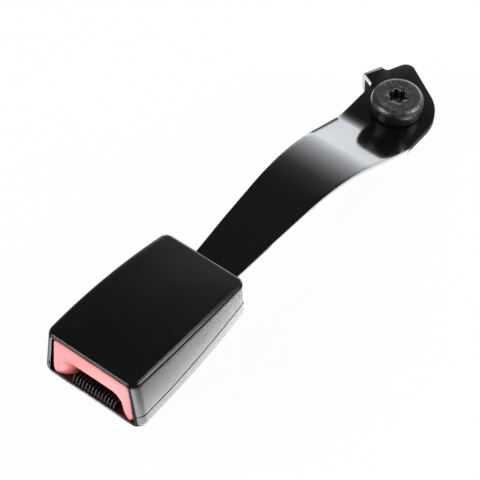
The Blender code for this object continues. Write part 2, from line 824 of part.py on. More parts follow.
def make_bolt(look):
    """Shouldered anchor bolt with a domed head and a six-lobe recess."""
    seat = strap_thickness + seat_gap
    top = seat + bolt_head_height
    profile = [(0.0, top)]
    for step in range(5):
        angle = math.pi / 2 * step / 5
        profile.append((bolt_flat_radius + bolt_round_width * math.sin(angle),
                        top - bolt_round_drop * (1 - math.cos(angle))))
    profile.append((bolt_head_radius, seat + bolt_belly_high))
    profile.append((bolt_head_radius, seat + bolt_belly_low))
    profile.append((bolt_foot_radius, seat))
    profile.append((bolt_shoulder_radius, seat))
    profile.append((bolt_shoulder_radius, 0.0))
    profile.append((bolt_thread_radius, -(bolt_shoulder_radius - bolt_thread_radius)))
    profile.append((bolt_thread_radius, bolt_tip_chamfer - bolt_thread_length))
    profile.append((bolt_thread_radius - bolt_tip_chamfer, -bolt_thread_length))
    profile.append((0.0, -bolt_thread_length))
    bolt = turned("anchor_bolt", profile, steps=40)
    middle = (recess_tip_radius + recess_root_radius) / 2
    swing = (recess_tip_radius - recess_root_radius) / 2
    outline = []
    for step in range(48):
        angle = 2 * math.pi * step / 48
        radius = middle + swing * math.cos(recess_lobes * (angle - recess_turn))
        outline.append((radius * math.cos(angle), radius * math.sin(angle)))
    cut(bolt, prism("recess", outline, top - recess_depth, top + recess_depth, "Z"))
    return finish(bolt, look)


def ring_profile(inner, outer, low, high):
    """A square ring as a closed profile."""
    return [(inner, high), (outer, high), (outer, low), (inner, low)]


def make_bush(look):
    """Steel bush in the anchor hole, which lets the strap swing on the bolt."""
    inner = bolt_shoulder_radius + hole_gap
    profile = ring_profile(inner, inner + bush_wall, 0.0, strap_thickness)
    return finish(turned("shoulder_bush", profile, steps=48, closed=True), look)


def make_keeper(look):
    """Nylon ring on the thread that keeps the bolt with the strap before fitting."""
    profile = ring_profile(bolt_thread_radius + hole_gap, keeper_radius,
                           -keeper_play - keeper_thickness, -keeper_play)
    return finish(turned("bolt_keeper", profile, steps=40, closed=True), look)


def guide_side(lift):
    """Side outline of the tongue guide's deck, raised by a lift."""
    start = mouth_y + guide_start
    end = mouth_y + frame_nose - seat_gap
    ramp_foot = base_bottom + guide_step
    deck = ramp_foot + guide_ramp_rise
    return [
        (end, base_bottom),
        (end, deck + lift),
        (start + guide_ramp_length, deck + lift),
        (start, ramp_foot + lift),
        (start, base_bottom),
    ]


def make_guide(look):
    """The black comb in the mouth that the tongue slides in on."""
    half = guide_width / 2
    guide = prism("tongue_guide", guide_side(0.0), -half, half, "X")
    span = (rib_count - 1) * rib_pitch
    for index in range(rib_count):
        middle = index * rib_pitch - span / 2
        left = middle - rib_width / 2
        rib = prism("rib_%02d" % index, guide_side(rib_height), left, left + rib_width, "X")
        join(guide, rib)
    return finish(guide, look)


def arch_ring(depth):
    """Cross-section of the opening through the button at a depth behind its face."""
    share = min(max(depth / throat_depth, 0.0), 1.0)
    ease = (1 - share) ** 2
    half = (arch_throat_width + (arch_mouth_width - arch_throat_width) * ease) / 2
    radius = arch_throat_radius + (arch_mouth_radius - arch_throat_radius) * ease
    floor = -mouth_height / 2
    corners = [
        (half + ease * arch_throat_radius / 2, floor, 0.0),
        (half, arch_height, radius),
        (-half, arch_height, radius),
        (-half - ease * arch_throat_radius / 2, floor, 0.0),
    ]
    place = mouth_y + button_setback + depth
    return [(x, place, deck_rise + z) for x, z in rounded(corners, steps=5)]


def arm_outline():
    """Side outline of a button arm with the ramp that lifts the latch's pin."""
    reach_y = pivot_y - lift_pin_y
    rise_z = lift_pin_z - pivot_z
    swung_y = pivot_y - reach_y * math.cos(latch_swing) + rise_z * math.sin(latch_swing)
    swung_z = pivot_z + reach_y * math.sin(latch_swing) + rise_z * math.cos(latch_swing)
    way = np.array((swung_y - button_travel - lift_pin_y, swung_z - lift_pin_z))
    way = way / np.linalg.norm(way)
    clear = lift_pin_radius + seat_gap
    foot = np.array((lift_pin_y, lift_pin_z)) + clear * np.array((-abs(way[1]), -abs(way[0])))
    slope = way[1] / way[0]
    crest_z = swung_z - clear * abs(way[0])
    crest_y = foot[0] + (crest_z - foot[1]) / slope
    low_y = foot[0] + (arm_tail_top - foot[1]) / slope
    front = mouth_y + button_setback + button_depth / 2
    return [
        (front, arm_bottom),
        (arm_tail_y, arm_bottom),
        (arm_tail_y, arm_tail_top),
        (low_y, arm_tail_top),
        (crest_y, crest_z),
        (front, crest_z),
    ]


def make_button(look):
    """The press button: an arched face, a roof and two arms along the frame."""
    rings = []
    side = cover_wall + button_side_gap
    top = cover_wall + button_top_gap
    foot = floor_wall + running_gap
    for depth in np.linspace(button_setback, button_setback + button_depth, 4):
        rings.append(housing_ring(depth, side, top, foot, top_edge_radius / 2, button_foot_radius))
    button = loft("press_button", rings)
    depths = [-lip_radius, 0.0, *(throat_depth * step / 6 for step in range(1, 7)), 2 * button_depth]
    throat = []
    for depth in depths:
        ring = arch_ring(max(depth, 0.0))
        throat.append([(x, mouth_y + button_setback + depth, z) for x, y, z in ring])
    cut(button, loft("button_throat", throat))
    roof_front = button_setback + button_depth / 2
    roof_back = button_setback + roof_length
    roof = []
    for depth in (roof_front, roof_back):
        high = housing_top(0.0) - (mouth_height - tail_height) * housing_share(depth) - top
        half = arm_inner + arm_width
        corners = [(half, high - roof_thickness), (half, high), (-half, high), (-half, high - roof_thickness)]
        roof.append([(x, mouth_y + depth, deck_rise + z) for x, z in corners])
    join(button, loft("button_roof", roof))
    for sign in (-1, 1):
        edges = sorted((sign * arm_inner, sign * (arm_inner + arm_width)))
        join(button, prism("arm_%d" % sign, arm_outline(), edges[0], edges[1], "X"))
        web_top = deck_rise + housing_top(0.0) - (mouth_height - tail_height) * housing_share(roof_front) - top
        web = box("web_%d" % sign, (edges[0], mouth_y + roof_front, arm_bottom + arm_tail_height),
                  (edges[1], mouth_y + button_setback + 1.5 * button_depth, web_top - roof_thickness / 2))
        join(button, web)
    return finish(button, look)


def ear_outline(centre_y, centre_z, radius):
    """Side outline of an ear that holds a pin over the latch's sheet."""
    low = deck_rise + latch_height
    return rounded([
        (centre_y - radius, low, 0.0),
        (centre_y + radius, low, 0.0),
        (centre_y + radius, centre_z + radius, radius * 0.8),
        (centre_y - radius, centre_z + radius, radius * 0.8),
    ])


def make_latch(look):
    """The latch plate: a swinging sheet with a dog that drops into the tongue's window."""
    low = deck_rise + latch_height
    high = low + latch_sheet
    half = latch_width / 2
    sheet_end = pivot_y - pivot_radius - hole_gap - lug_wall / 2
    latch = box("latch_plate", (-half, mouth_y + latch_nose, low), (half, sheet_end, high))
    dog = box("latch_dog", (-dog_width / 2, mouth_y + latch_nose, deck_rise + dog_tip_height),
              (dog_width / 2, mouth_y + latch_nose + dog_depth, low + latch_sheet / 2))
    join(latch, dog)
    ear = pivot_radius + hole_gap + lug_wall
    lug = lift_pin_radius + hole_gap + lug_wall
    for side in (-1, 1):
        edges = sorted((side * (half - ear_thickness), side * half))
        outline = ear_outline(pivot_y, pivot_z, ear)
        outline[0] = (sheet_end - ear, low)
        join(latch, prism("pivot_ear_%d" % side, outline, edges[0], edges[1], "X"))
        outline = ear_outline(lift_pin_y, lift_pin_z, lug)
        join(latch, prism("lift_ear_%d" % side, outline, edges[0], edges[1], "X"))
    pivot_centre = (0, pivot_y, pivot_z)
    cut(latch, rod("latch_bore", pivot_radius + hole_gap, -latch_width, latch_width, pivot_centre))
    lift_centre = (0, lift_pin_y, lift_pin_z)
    cut(latch, rod("lift_bore", lift_pin_radius + hole_gap, -latch_width, latch_width, lift_centre))
    return finish(latch, look)


def make_pivot_pin(look):
    """The headed pin that the latch swings on, grooved for its clip."""
    face = frame_outer_width / 2 + seat_gap
    groove_start = face + seat_gap
    groove_end = groove_start + clip_thickness + 2 * seat_gap
    tip = groove_end + clip_thickness
    chamfer = pivot_radius / 4
    profile = [
        (0.0, tip),
        (pivot_radius - chamfer, tip),
        (pivot_radius, tip - chamfer),
        (pivot_radius, groove_end),
        (pivot_radius - groove_depth, groove_end),
        (pivot_radius - groove_depth, groove_start),
        (pivot_radius, groove_start),
        (pivot_radius, -face),
        (pin_head_radius, -face),
        (pin_head_radius, chamfer - face - pin_head_thickness),
        (pin_head_radius - chamfer, -face - pin_head_thickness),
        (0.0, -face - pin_head_thickness),
    ]
    pin = turned("latch_pivot_pin", profile, steps=24, place=(0, pivot_y, pivot_z), along="X")
    return finish(pin, look)


def make_pivot_clip(look):
    """The open clip in the pin's groove."""
    low = frame_outer_width / 2 + 3 * seat_gap
    inner = pivot_radius - groove_depth + hole_gap
    angles = np.linspace(clip_opening, 2 * math.pi - clip_opening, 25)
    outline = []
    for radius, turn in ((clip_outer_radius, angles), (inner, angles[::-1])):
        for angle in turn:
            outline.append((pivot_y + radius * math.cos(angle), pivot_z + radius * math.sin(angle)))
    return finish(prism("pivot_clip", outline, low, low + clip_thickness, "X"), look)


def make_lift_pin(look):
    """The cross pin of the latch, whose ends ride on the button's ramps."""
    half = arm_inner + arm_width - running_gap
    chamfer = lift_pin_radius / 4
    profile = [
        (0.0, half),
        (lift_pin_radius - chamfer, half),
        (lift_pin_radius, half - chamfer),
        (lift_pin_radius, chamfer - half),
        (lift_pin_radius - chamfer, -half),
        (0.0, -half),
    ]
    pin = turned("lift_pin", profile, steps=24, place=(0, lift_pin_y, lift_pin_z), along="X")
    return finish(pin, look)


def make_latch_spring(look):
    """A torsion spring round the pivot pin that pushes the latch down."""
    base = coil_points(latch_coil_radius, latch_coil_turns, latch_coil_width, per_turn=10)
    start_x = -latch_coil_width / 2
    points = [(start_x + z, pivot_y - y, pivot_z + x) for x, y, z in base]
    plate_top = deck_rise + latch_height + latch_sheet + seat_gap + latch_wire_radius
    points.insert(0, (start_x, pivot_y - latch_leg_reach, plate_top))
    strap_top = strap_level + strap_thickness + seat_gap + latch_wire_radius
    points.append((-start_x, pivot_y + frame_leg_bend, pivot_z))
    points.append((-start_x, pivot_y + frame_leg_reach, strap_top))
    return finish(wire("latch_spring", points, latch_wire_radius), look)


def make_ejector(look):
    """The plastic slide that pushes the tongue back out."""
    low = base_top + seat_gap
    half = ejector_width / 2
    ejector = box("ejector", (-half, ejector_y, low), (half, ejector_y + ejector_length, low + ejector_height))
    foot_half = ejector_foot_width / 2
    foot = box("ejector_foot", (-foot_half, ejector_y + running_gap, low - ejector_foot_depth),
               (foot_half, ejector_y + ejector_length - running_gap, low + ejector_height / 2))
    join(ejector, foot)
    soften(ejector, ejector_edge, 1)
    return finish(ejector, look)


def make_ejector_spring(look):
    """Coil spring between the ejector and the end of the strap."""
    start = ejector_y + ejector_length + seat_gap + coil_wire_radius
    end = mouth_y + strap_start - seat_gap - coil_wire_radius
    height = base_top + seat_gap + ejector_height / 2
    base = coil_points(ejector_coil_radius, ejector_coil_turns, end - start)
    points = [(x, start + z, height + y) for x, y, z in base]
    return finish(wire("ejector_spring", points, coil_wire_radius), look)


def make_button_spring(name, side, look):
    """Return spring between a button arm and its post."""
    start = arm_tail_y + seat_gap + coil_wire_radius
    end = post_y - seat_gap - coil_wire_radius
    height = (arm_bottom + arm_tail_top) / 2
    base = coil_points(button_coil_radius, button_coil_turns, end - start)
    points = [(side * arm_middle + x, start + z, height + y) for x, y, z in base]
    return finish(wire(name, points, coil_wire_radius), look)


def make_pad(look):
    """Foam pad that keeps the frame from rattling in the covers."""
    low = base_bottom + frame_wall_height + seat_gap
    start = pad_start
    end = pad_start + pad_length
    half = frame_inner_width / 2
    high = deck_rise + min(housing_top(start), housing_top(end)) - cover_wall - seat_gap
    pad = box("frame_pad", (-half, mouth_y + start, low), (half, mouth_y + end, high))
    return finish(soften(pad, pad_edge), look)


def joint_empty(name, place, members):
    """Parent the pieces that move together to an empty on their joint's axis."""
    empty = bpy.data.objects.new(name, None)
    empty.empty_display_size = 0.01
    parts.objects.link(empty)
    empty.location = place
    bpy.context.view_layer.update()
    for member in members:
        member.parent = empty
        member.matrix_parent_inverse = empty.matrix_world.inverted()


def build():
    """Make every piece and group those that move."""
    clear_scene()
    black_plastic = material("black_plastic", (0.012, 0.012, 0.011), 0.45)
    guide_plastic = material("guide_plastic", (0.010, 0.010, 0.010), 0.35)
    red_plastic = material("red_plastic", (0.80, 0.16, 0.17), 0.45)
    white_plastic = material("white_plastic", (0.75, 0.75, 0.70), 0.5)
    painted_steel = material("painted_steel", (0.008, 0.008, 0.009), 0.18)
    zinc_steel = material("zinc_steel", (0.55, 0.56, 0.58), 0.35, 1.0)
    dark_steel = material("dark_steel", (0.10, 0.10, 0.10), 0.45, 0.8)
    spring_steel = material("spring_steel", (0.40, 0.40, 0.42), 0.3, 1.0)
    nylon = material("nylon", (0.65, 0.63, 0.55), 0.5)
    foam = material("foam", (0.06, 0.06, 0.06), 0.95)

    make_upper_cover(black_plastic)
    make_lower_cover(black_plastic)
    make_frame(zinc_steel)
    make_strap(painted_steel)
    make_rivet("frame_rivet_left", -1, zinc_steel)
    make_rivet("frame_rivet_right", 1, zinc_steel)
    make_guide(guide_plastic)
    make_pad(foam)
    make_pivot_pin(zinc_steel)
    make_pivot_clip(spring_steel)
    make_latch_spring(spring_steel)
    make_ejector_spring(spring_steel)
    make_button_spring("button_spring_left", -1, spring_steel)
    make_button_spring("button_spring_right", 1, spring_steel)

    button = make_button(red_plastic)
    joint_empty("button_axis", (0, mouth_y, deck_rise + arch_height), [button])
    latch = make_latch(zinc_steel)
    lift_pin = make_lift_pin(zinc_steel)
    joint_empty("latch_axis", (0, pivot_y, pivot_z), [latch, lift_pin])
    ejector = make_ejector(white_plastic)
    joint_empty("ejector_axis", (0, ejector_y, base_top), [ejector])
    bolt = make_bolt(dark_steel)
    bush = make_bush(zinc_steel)
    keeper = make_keeper(nylon)
    joint_empty("bolt_axis", (0, 0, 0), [bolt, bush, keeper])


build()
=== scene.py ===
# %% [markdown]
# # A seat belt buckle on its steel strap
# The imported CAD model is the fixed frame: it says where every piece is and how it moves.
# This lesson builds the looks around it, piece by piece, and then lights and frames them as in the photo.
# We load the frame first; nothing that we add may grow past it.

# %% Load the frame
import math

import bmesh
import bpy
import numpy as np
from mathutils import Matrix
from mathutils.geometry import delaunay_2d_cdt


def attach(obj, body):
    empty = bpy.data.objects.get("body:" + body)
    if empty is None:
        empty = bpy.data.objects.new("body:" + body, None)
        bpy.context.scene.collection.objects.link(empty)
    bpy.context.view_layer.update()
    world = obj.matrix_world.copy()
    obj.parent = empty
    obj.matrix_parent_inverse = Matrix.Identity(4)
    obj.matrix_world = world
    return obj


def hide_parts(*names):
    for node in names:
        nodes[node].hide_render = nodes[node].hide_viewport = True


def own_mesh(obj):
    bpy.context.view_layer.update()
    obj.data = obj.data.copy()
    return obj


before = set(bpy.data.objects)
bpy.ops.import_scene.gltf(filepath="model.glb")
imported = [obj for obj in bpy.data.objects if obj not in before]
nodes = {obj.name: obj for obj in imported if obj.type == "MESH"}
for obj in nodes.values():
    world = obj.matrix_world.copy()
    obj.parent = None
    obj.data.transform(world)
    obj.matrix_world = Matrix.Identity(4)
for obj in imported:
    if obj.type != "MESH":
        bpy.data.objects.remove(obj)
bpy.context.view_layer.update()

MM = 0.001

# %% [markdown]
# ## The camera
# A product photograph is taken from far away with a long lens, so its edges stay nearly parallel.
# It can be aimed by hand, or its place and turn can be numbers that were fitted to the photograph.
# The numbers are used here: a tilt up from looking straight down, a turn round Z, and a slight roll.

# %% Place the camera
camera_place = np.array((352.62, -571.43, 737.35)) * MM
camera_azimuth = math.radians(37.68)
camera_elevation = math.radians(51.15)
camera_roll = math.radians(0.38)
turn = (Matrix.Rotation(camera_azimuth, 4, "Z") @ Matrix.Rotation(math.pi / 2 - camera_elevation, 4, "X")
        @ Matrix.Rotation(camera_roll, 4, "Z"))

bpy.context.scene.view_settings.view_transform = "Standard"
camera = bpy.data.objects.new("camera", bpy.data.cameras.new("camera"))
bpy.context.scene.collection.objects.link(camera)
camera.data.sensor_width = 36.0
camera.data.lens = 164.8
camera.data.clip_start = 0.05
camera.matrix_world = Matrix.Translation(camera_place) @ turn
bpy.context.scene.camera = camera
print("camera looks along", [round(-value, 3) for value in turn.col[2][:3]])

# %% [markdown]
# ## From grids of points to meshes
# Nearly every surface is a grid: rows run one way, columns the other, and four neighbours make a face.
# A grid can be closed round its rows or its columns, which makes tubes and rings.
# A piece is a few such grids that share their borders; merging the doubled border points closes it.
# All lengths of the pieces are in millimetres, and `make_object` turns them into metres once.

# %% Grid helpers
def grid_quads(rows, columns, wrap_rows=False, wrap_columns=False):
    """Corner numbers of the faces: point (r, c) has number r * columns + c."""
    row = np.arange(rows if wrap_rows else rows - 1)[:, None]
    column = np.arange(columns if wrap_columns else columns - 1)[None, :]
    row_after = (row + 1) % rows
    column_after = (column + 1) % columns
    corners = np.stack(np.broadcast_arrays(
        row * columns + column, row * columns + column_after,
        row_after * columns + column_after, row_after * columns + column), axis=-1)
    return corners.reshape(-1, 4)


def sheet(points, wrap_rows=False, wrap_columns=False):
    """A grid of points with the faces between them."""
    points = np.asarray(points, float)
    rows, columns = points.shape[:2]
    return points.reshape(-1, 3), grid_quads(rows, columns, wrap_rows, wrap_columns).tolist()


def spread(first, last, count):
    """Rows that go straight from one border to the other: first + share * (last - first)."""
    share = np.linspace(0.0, 1.0, count)[:, None, None]
    return first[None] + share * (last - first)[None]


def lone(points):
    """A border shrunk to its middle point, to close a hole with a fan."""
    return np.broadcast_to(points.mean(axis=0), points.shape)


print("a 3 by 4 grid has", len(grid_quads(3, 4)), "faces")


# %% Make an object from its patches
def smooth_shade(mesh, angle=38.0):
    """Shade the faces smoothly and keep the edges that are sharper than the angle."""
    mesh.shade_smooth()
    mesh.set_sharp_from_angle(angle=math.radians(angle))


def bake(item):
    """Put the result of the modifiers into the object's own mesh."""
    ready = item.evaluated_get(bpy.context.evaluated_depsgraph_get())
    mesh = bpy.data.meshes.new_from_object(ready)
    item.modifiers.clear()
    item.data = mesh
    return item


def make_object(name, patches, merge=0.003, outward=True):
    """Join the patches into one mesh, merge their shared borders and turn the faces outwards."""
    points = []
    faces = []
    start = 0
    for patch_points, patch_faces in patches:
        points.append(patch_points)
        faces += [[corner + start for corner in face] for face in patch_faces]
        start += len(patch_points)
    mesh = bpy.data.meshes.new(name)
    mesh.from_pydata((np.concatenate(points) * MM).tolist(), [], faces)
    work = bmesh.new()
    work.from_mesh(mesh)
    bmesh.ops.remove_doubles(work, verts=work.verts, dist=merge * MM)
    bmesh.ops.dissolve_degenerate(work, edges=work.edges, dist=merge * MM / 4)
    if outward:
        bmesh.ops.recalc_face_normals(work, faces=work.faces)
    work.to_mesh(mesh)
    work.free()
    item = bpy.data.objects.new(name, mesh)
    bpy.context.scene.collection.objects.link(item)
    return item


def round_edges(item, width, segments=3, angle=35.0):
    """Round the edges that are sharper than the angle with a narrow bevel."""
    step = item.modifiers.new("edge", "BEVEL")
    step.width = width * MM
    step.segments = segments
    step.limit_method = "ANGLE"
    step.angle_limit = math.radians(angle)
    step.use_clamp_overlap = True
    return bake(item)


def settle(item, body, slot, *stands_for, angle=38.0):
    """Finish a piece: shading, material, the body it rides on and the CAD nodes that it stands for."""
    smooth_shade(item.data, angle)
    item.data.materials.clear()
    item.data.materials.append(finishes[slot])
    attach(item, body)
    if stands_for:
        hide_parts(*stands_for)
    item.data.calc_loop_triangles()
    print(item.name, len(item.data.loop_triangles), "triangles")
    return item


def dress(name, patches, body, slot, *stands_for, angle=38.0, merge=0.003):
    """Make a piece from its patches and finish it."""
    return settle(make_object(name, patches, merge), body, slot, *stands_for, angle=angle)


# %% [markdown]
# ## Noise groups that the finishes share
# Moulded plastic, paint and steel all need small height changes and patchy marks.
# Each effect is a node group, so it is built once and used with other values in each finish.
# The groups put out only heights and masks; the shader itself stays in the material.

# %% Node helpers
def add_node(tree, kind, inputs=None, **settings):
    """Add a node, set its properties, and fill its inputs with values or links."""
    node = tree.nodes.new(kind)
    for name, value in settings.items():
        setattr(node, name, value)
    for name, value in (inputs or {}).items():
        if isinstance(value, bpy.types.NodeSocket):
            tree.links.new(value, node.inputs[name])
        else:
            node.inputs[name].default_value = value
    return node


def new_group(name, inputs, outputs):
    """An empty node group with the named sockets."""
    group = bpy.data.node_groups.new(name, "ShaderNodeTree")
    for label, kind, value in inputs:
        socket = group.interface.new_socket(label, in_out="INPUT", socket_type=kind)
        if value is not None:
            socket.default_value = value
    for label in outputs:
        group.interface.new_socket(label, in_out="OUTPUT", socket_type="NodeSocketFloat")
    source = group.nodes.new("NodeGroupInput")
    sink = group.nodes.new("NodeGroupOutput")
    return group, source, sink


def noise(tree, vector, scale, detail=2.0, roughness=0.5):
    """A noise texture's value."""
    return add_node(tree, "ShaderNodeTexNoise", {
        "Vector": vector, "Scale": scale, "Detail": detail, "Roughness": roughness}).outputs["Fac"]


def calculate(tree, operation, first, second):
    """One arithmetic step on two values."""
    return add_node(tree, "ShaderNodeMath", {0: first, 1: second}, operation=operation).outputs[0]


def remap(tree, value, low, high, to_low, to_high):
    """Stretch the range low to high of a value to the range to_low to to_high."""
    return add_node(tree, "ShaderNodeMapRange", {"Value": value, "From Min": low, "From Max": high,
                                                 "To Min": to_low, "To Max": to_high}).outputs["Result"]


# %% Spark-eroded grain of a mould
grain_group, source, sink = new_group("moulded_grain", [
    ("Vector", "NodeSocketVector", None),
    ("Scale", "NodeSocketFloat", 2600.0)], ["Height", "Patches"])
fine = noise(grain_group, source.outputs["Vector"], source.outputs["Scale"], 3.0, 0.6)
coarse_scale = calculate(grain_group, "MULTIPLY", source.outputs["Scale"], 0.31)
coarse = noise(grain_group, source.outputs["Vector"], coarse_scale, 2.0)
height = calculate(grain_group, "ADD", fine, calculate(grain_group, "MULTIPLY", coarse, 0.6))
patch_scale = calculate(grain_group, "MULTIPLY", source.outputs["Scale"], 0.018)
patches_of_gloss = noise(grain_group, source.outputs["Vector"], patch_scale, 3.0)
grain_group.links.new(height, sink.inputs["Height"])
grain_group.links.new(patches_of_gloss, sink.inputs["Patches"])
print("group", grain_group.name)

# %% Fine scratches from handling
marks_group, source, sink = new_group("handling_marks", [
    ("Vector", "NodeSocketVector", None),
    ("Scale", "NodeSocketFloat", 60.0)], ["Scratches", "Smudges"])
stretched = add_node(marks_group, "ShaderNodeMapping", {
    "Vector": source.outputs["Vector"], "Rotation": (0.0, 0.0, 0.6), "Scale": (1.0, 22.0, 6.0)})
lines = noise(marks_group, stretched.outputs["Vector"], source.outputs["Scale"], 4.0, 0.7)
scratches = remap(marks_group, lines, 0.66, 0.72, 0.0, 1.0)
smudges = noise(marks_group, source.outputs["Vector"], source.outputs["Scale"], 3.0, 0.6)
marks_group.links.new(scratches, sink.inputs["Scratches"])
marks_group.links.new(smudges, sink.inputs["Smudges"])
print("group", marks_group.name)

# %% Crystals of a phosphate or zinc coat
crystal_group, source, sink = new_group("coat_crystals", [
    ("Vector", "NodeSocketVector", None),
    ("Scale", "NodeSocketFloat", 1500.0)], ["Speckle", "Height"])
cells = add_node(crystal_group, "ShaderNodeTexVoronoi", {
    "Vector": source.outputs["Vector"], "Scale": source.outputs["Scale"]}, feature="F1")
cloud_scale = calculate(crystal_group, "MULTIPLY", source.outputs["Scale"], 0.22)
cloud = noise(crystal_group, source.outputs["Vector"], cloud_scale, 4.0, 0.65)
spots = remap(crystal_group, cells.outputs["Distance"], 0.1, 0.6, 1.0, 0.0)
speckle = calculate(crystal_group, "MULTIPLY", spots, remap(crystal_group, cloud, 0.35, 0.65, 0.0, 1.0))
crystal_group.links.new(speckle, sink.inputs["Speckle"])
crystal_group.links.new(cloud, sink.inputs["Height"])
print("group", crystal_group.name)


# %% [markdown]
# ## The finishes
# A finish is a Principled shader with plain numbers for what is the same all over,
# and node links only for what changes over the surface: colour, roughness and the bump.
# Patterns read Object coordinates, in metres, so a scale of 2500 means grains of about 0.4 mm.
# All finishes are wired alike, so one function makes them, and plastic and steel fill in what differs.

# %% One function for all finishes
def make_finish(name, group, scale, masks, colours, roughness, relief, marks, **constants):
    """A Principled finish over Object coordinates.

    The first mask blends the two colours, the second spans the roughness, to which the scratches add.
    The relief is the bump's strength and its depth in mm; marks are the scratches' scale and their wear.
    """
    material = bpy.data.materials.new(name)
    material.use_nodes = True
    tree = material.node_tree
    shader = tree.nodes["Principled BSDF"]
    for label, value in constants.items():
        shader.inputs[label.replace("_", " ")].default_value = value
    place = add_node(tree, "ShaderNodeTexCoord").outputs["Object"]
    found = {}
    for pattern, density in ((group, scale), (marks_group, marks[0])):
        node = add_node(tree, "ShaderNodeGroup", {"Vector": place, "Scale": density}, node_tree=pattern)
        found.update({socket.name: socket for socket in node.outputs})
    dark, light = ((*colour, 1.0) for colour in colours)
    mix = {"Factor": found[masks[0]], 6: dark, 7: light}
    blend = add_node(tree, "ShaderNodeMix", mix, data_type="RGBA")
    tree.links.new(blend.outputs[2], shader.inputs["Base Color"])
    patchy = remap(tree, found[masks[1]], 0.3, 0.7, *roughness)
    worn = calculate(tree, "MULTIPLY", found["Scratches"], marks[1])
    tree.links.new(calculate(tree, "ADD", patchy, worn), shader.inputs["Roughness"])
    tilt = add_node(tree, "ShaderNodeBump", {
        "Strength": relief[0], "Distance": relief[1] * MM, "Height": found["Height"]})
    tree.links.new(tilt.outputs["Normal"], shader.inputs["Normal"])
    return material


def plastic(name, dark, light, rough, scale, depth, **constants):
    """Moulded plastic: fine grain, with patches in the colour and in the roughness."""
    return make_finish(name, grain_group, scale, ("Patches", "Patches"), (dark, light),
                       (rough - 0.04, rough + 0.04), (0.3, depth), (55.0, -0.015), **constants)


def steel(name, dark, light, low, high, scale, depth, metallic=1.0):
    """Coated or bare steel: crystals mottle the colour and the roughness, and scratches shine through."""
    return make_finish(name, crystal_group, scale, ("Speckle", "Height"), (dark, light),
                       (low, high), (0.4, depth), (90.0, -0.06), Metallic=metallic)


# %% The finishes
finishes = {
    "cover_plastic": plastic("black_cover_plastic", (0.0009, 0.0009, 0.0007), (0.0015, 0.0015, 0.0013),
                             0.15, 2400.0, 0.20, Specular_IOR_Level=0.45),
    "guide_plastic": plastic("black_guide_plastic", (0.003, 0.003, 0.003), (0.006, 0.006, 0.006),
                             0.22, 3200.0, 0.02, Specular_IOR_Level=0.8),
    "button_plastic": plastic("coral_button_plastic", (0.89, 0.22, 0.23), (0.92, 0.25, 0.26),
                              0.42, 2400.0, 0.03, Subsurface_Weight=0.12, Subsurface_Scale=0.0015,
                              Subsurface_Radius=(1.0, 0.35, 0.3)),
    "ejector_plastic": plastic("white_ejector_plastic", (0.70, 0.70, 0.66), (0.78, 0.78, 0.74),
                               0.42, 2400.0, 0.03),
    "keeper_nylon": plastic("natural_nylon", (0.60, 0.57, 0.48), (0.70, 0.67, 0.58), 0.38, 1800.0, 0.03,
                            Subsurface_Weight=0.2, Subsurface_Scale=0.001),
    "strap_paint": make_finish("black_strap_paint", grain_group, 700.0, ("Smudges", "Smudges"),
                               ((0.0022, 0.0022, 0.0021), (0.0034, 0.0034, 0.0033)), (0.09, 0.13),
                               (0.06, 0.02), (40.0, 0.06), Specular_IOR_Level=0.5),
    "bolt_steel": steel("phosphated_bolt_steel", (0.07, 0.07, 0.068), (0.30, 0.30, 0.295),
                        0.27, 0.42, 1500.0, 0.08, 0.9),
    "frame_steel": steel("zinc_plated_steel", (0.42, 0.43, 0.45), (0.58, 0.59, 0.60),
                         0.28, 0.42, 900.0, 0.02),
    "pin_steel": steel("ground_pin_steel", (0.50, 0.50, 0.51), (0.62, 0.62, 0.63),
                       0.18, 0.30, 1400.0, 0.01),
    "spring_steel": steel("drawn_spring_wire", (0.34, 0.34, 0.36), (0.48, 0.48, 0.50),
                          0.22, 0.34, 2000.0, 0.01),
    "pad_foam": steel("dark_foam", (0.025, 0.025, 0.026), (0.055, 0.055, 0.055),
                      0.85, 0.98, 1600.0, 0.25, 0.0),
}
print(len(finishes), "finishes ready")

# %% [markdown]
# ## The form of the housing
# The housing is a tapering box: it narrows and gets lower from the mouth to the tail, its top is crowned,
# and its sides lean in and bulge a little. Two mouldings share this form and meet at a seam.
# The same few sizes as in the CAD source describe it, so every cross-section is a formula of the depth.

# %% Sizes of the housing
reach = 211.0
deck_rise = 14.0
mouth_y = -reach
housing_length = 73.2
tail_y = mouth_y + housing_length
mouth_top_width, tail_top_width = 45.3, 41.9
mouth_foot_width, tail_foot_width = 52.0, 45.3
mouth_height, tail_height = 26.1, 19.4
top_crown, side_bulge = 1.5, 1.2
top_edge_radius, foot_edge_radius = 2.2, 2.4
lip_radius, side_lip_radius = 1.2, 0.4
mouth_turn_radius, mouth_turn_depth = 5.2, 4.4
tail_corner_radius, tail_edge_radius = 3.2, 1.4
cover_wall, floor_wall = 1.6, 1.4
mouth_parting_height, tail_parting_height = 6.7, 8.6
parting_gap = 0.3


def along_housing(depth):
    """Share of the housing's length at a depth from the mouth."""
    return np.clip(depth / housing_length, 0.0, 1.0)


def top_height(depth):
    """Height of the top: a straight fall plus a crown that is highest half way, 4 * share * (1 - share)."""
    share = along_housing(depth)
    return mouth_height + (tail_height - mouth_height) * share + top_crown * 4 * share * (1 - share)


def side_line(depth, inset):
    """The leaning side as half width = start + lean * height, drawn in by the inset."""
    share = along_housing(depth)
    top_half = (mouth_top_width + (tail_top_width - mouth_top_width) * share) / 2
    foot_half = (mouth_foot_width + (tail_foot_width - mouth_foot_width) * share) / 2
    start = foot_half + side_bulge * 4 * share * (1 - share) - inset
    return start, (top_half - foot_half) / top_height(depth)


def parting_height(depth):
    """The seam's height: an easy S from the mouth's height to the tail's, share^2 * (3 - 2 * share)."""
    share = along_housing(depth)
    rise = tail_parting_height - mouth_parting_height
    return mouth_parting_height + rise * share * share * (3 - 2 * share)


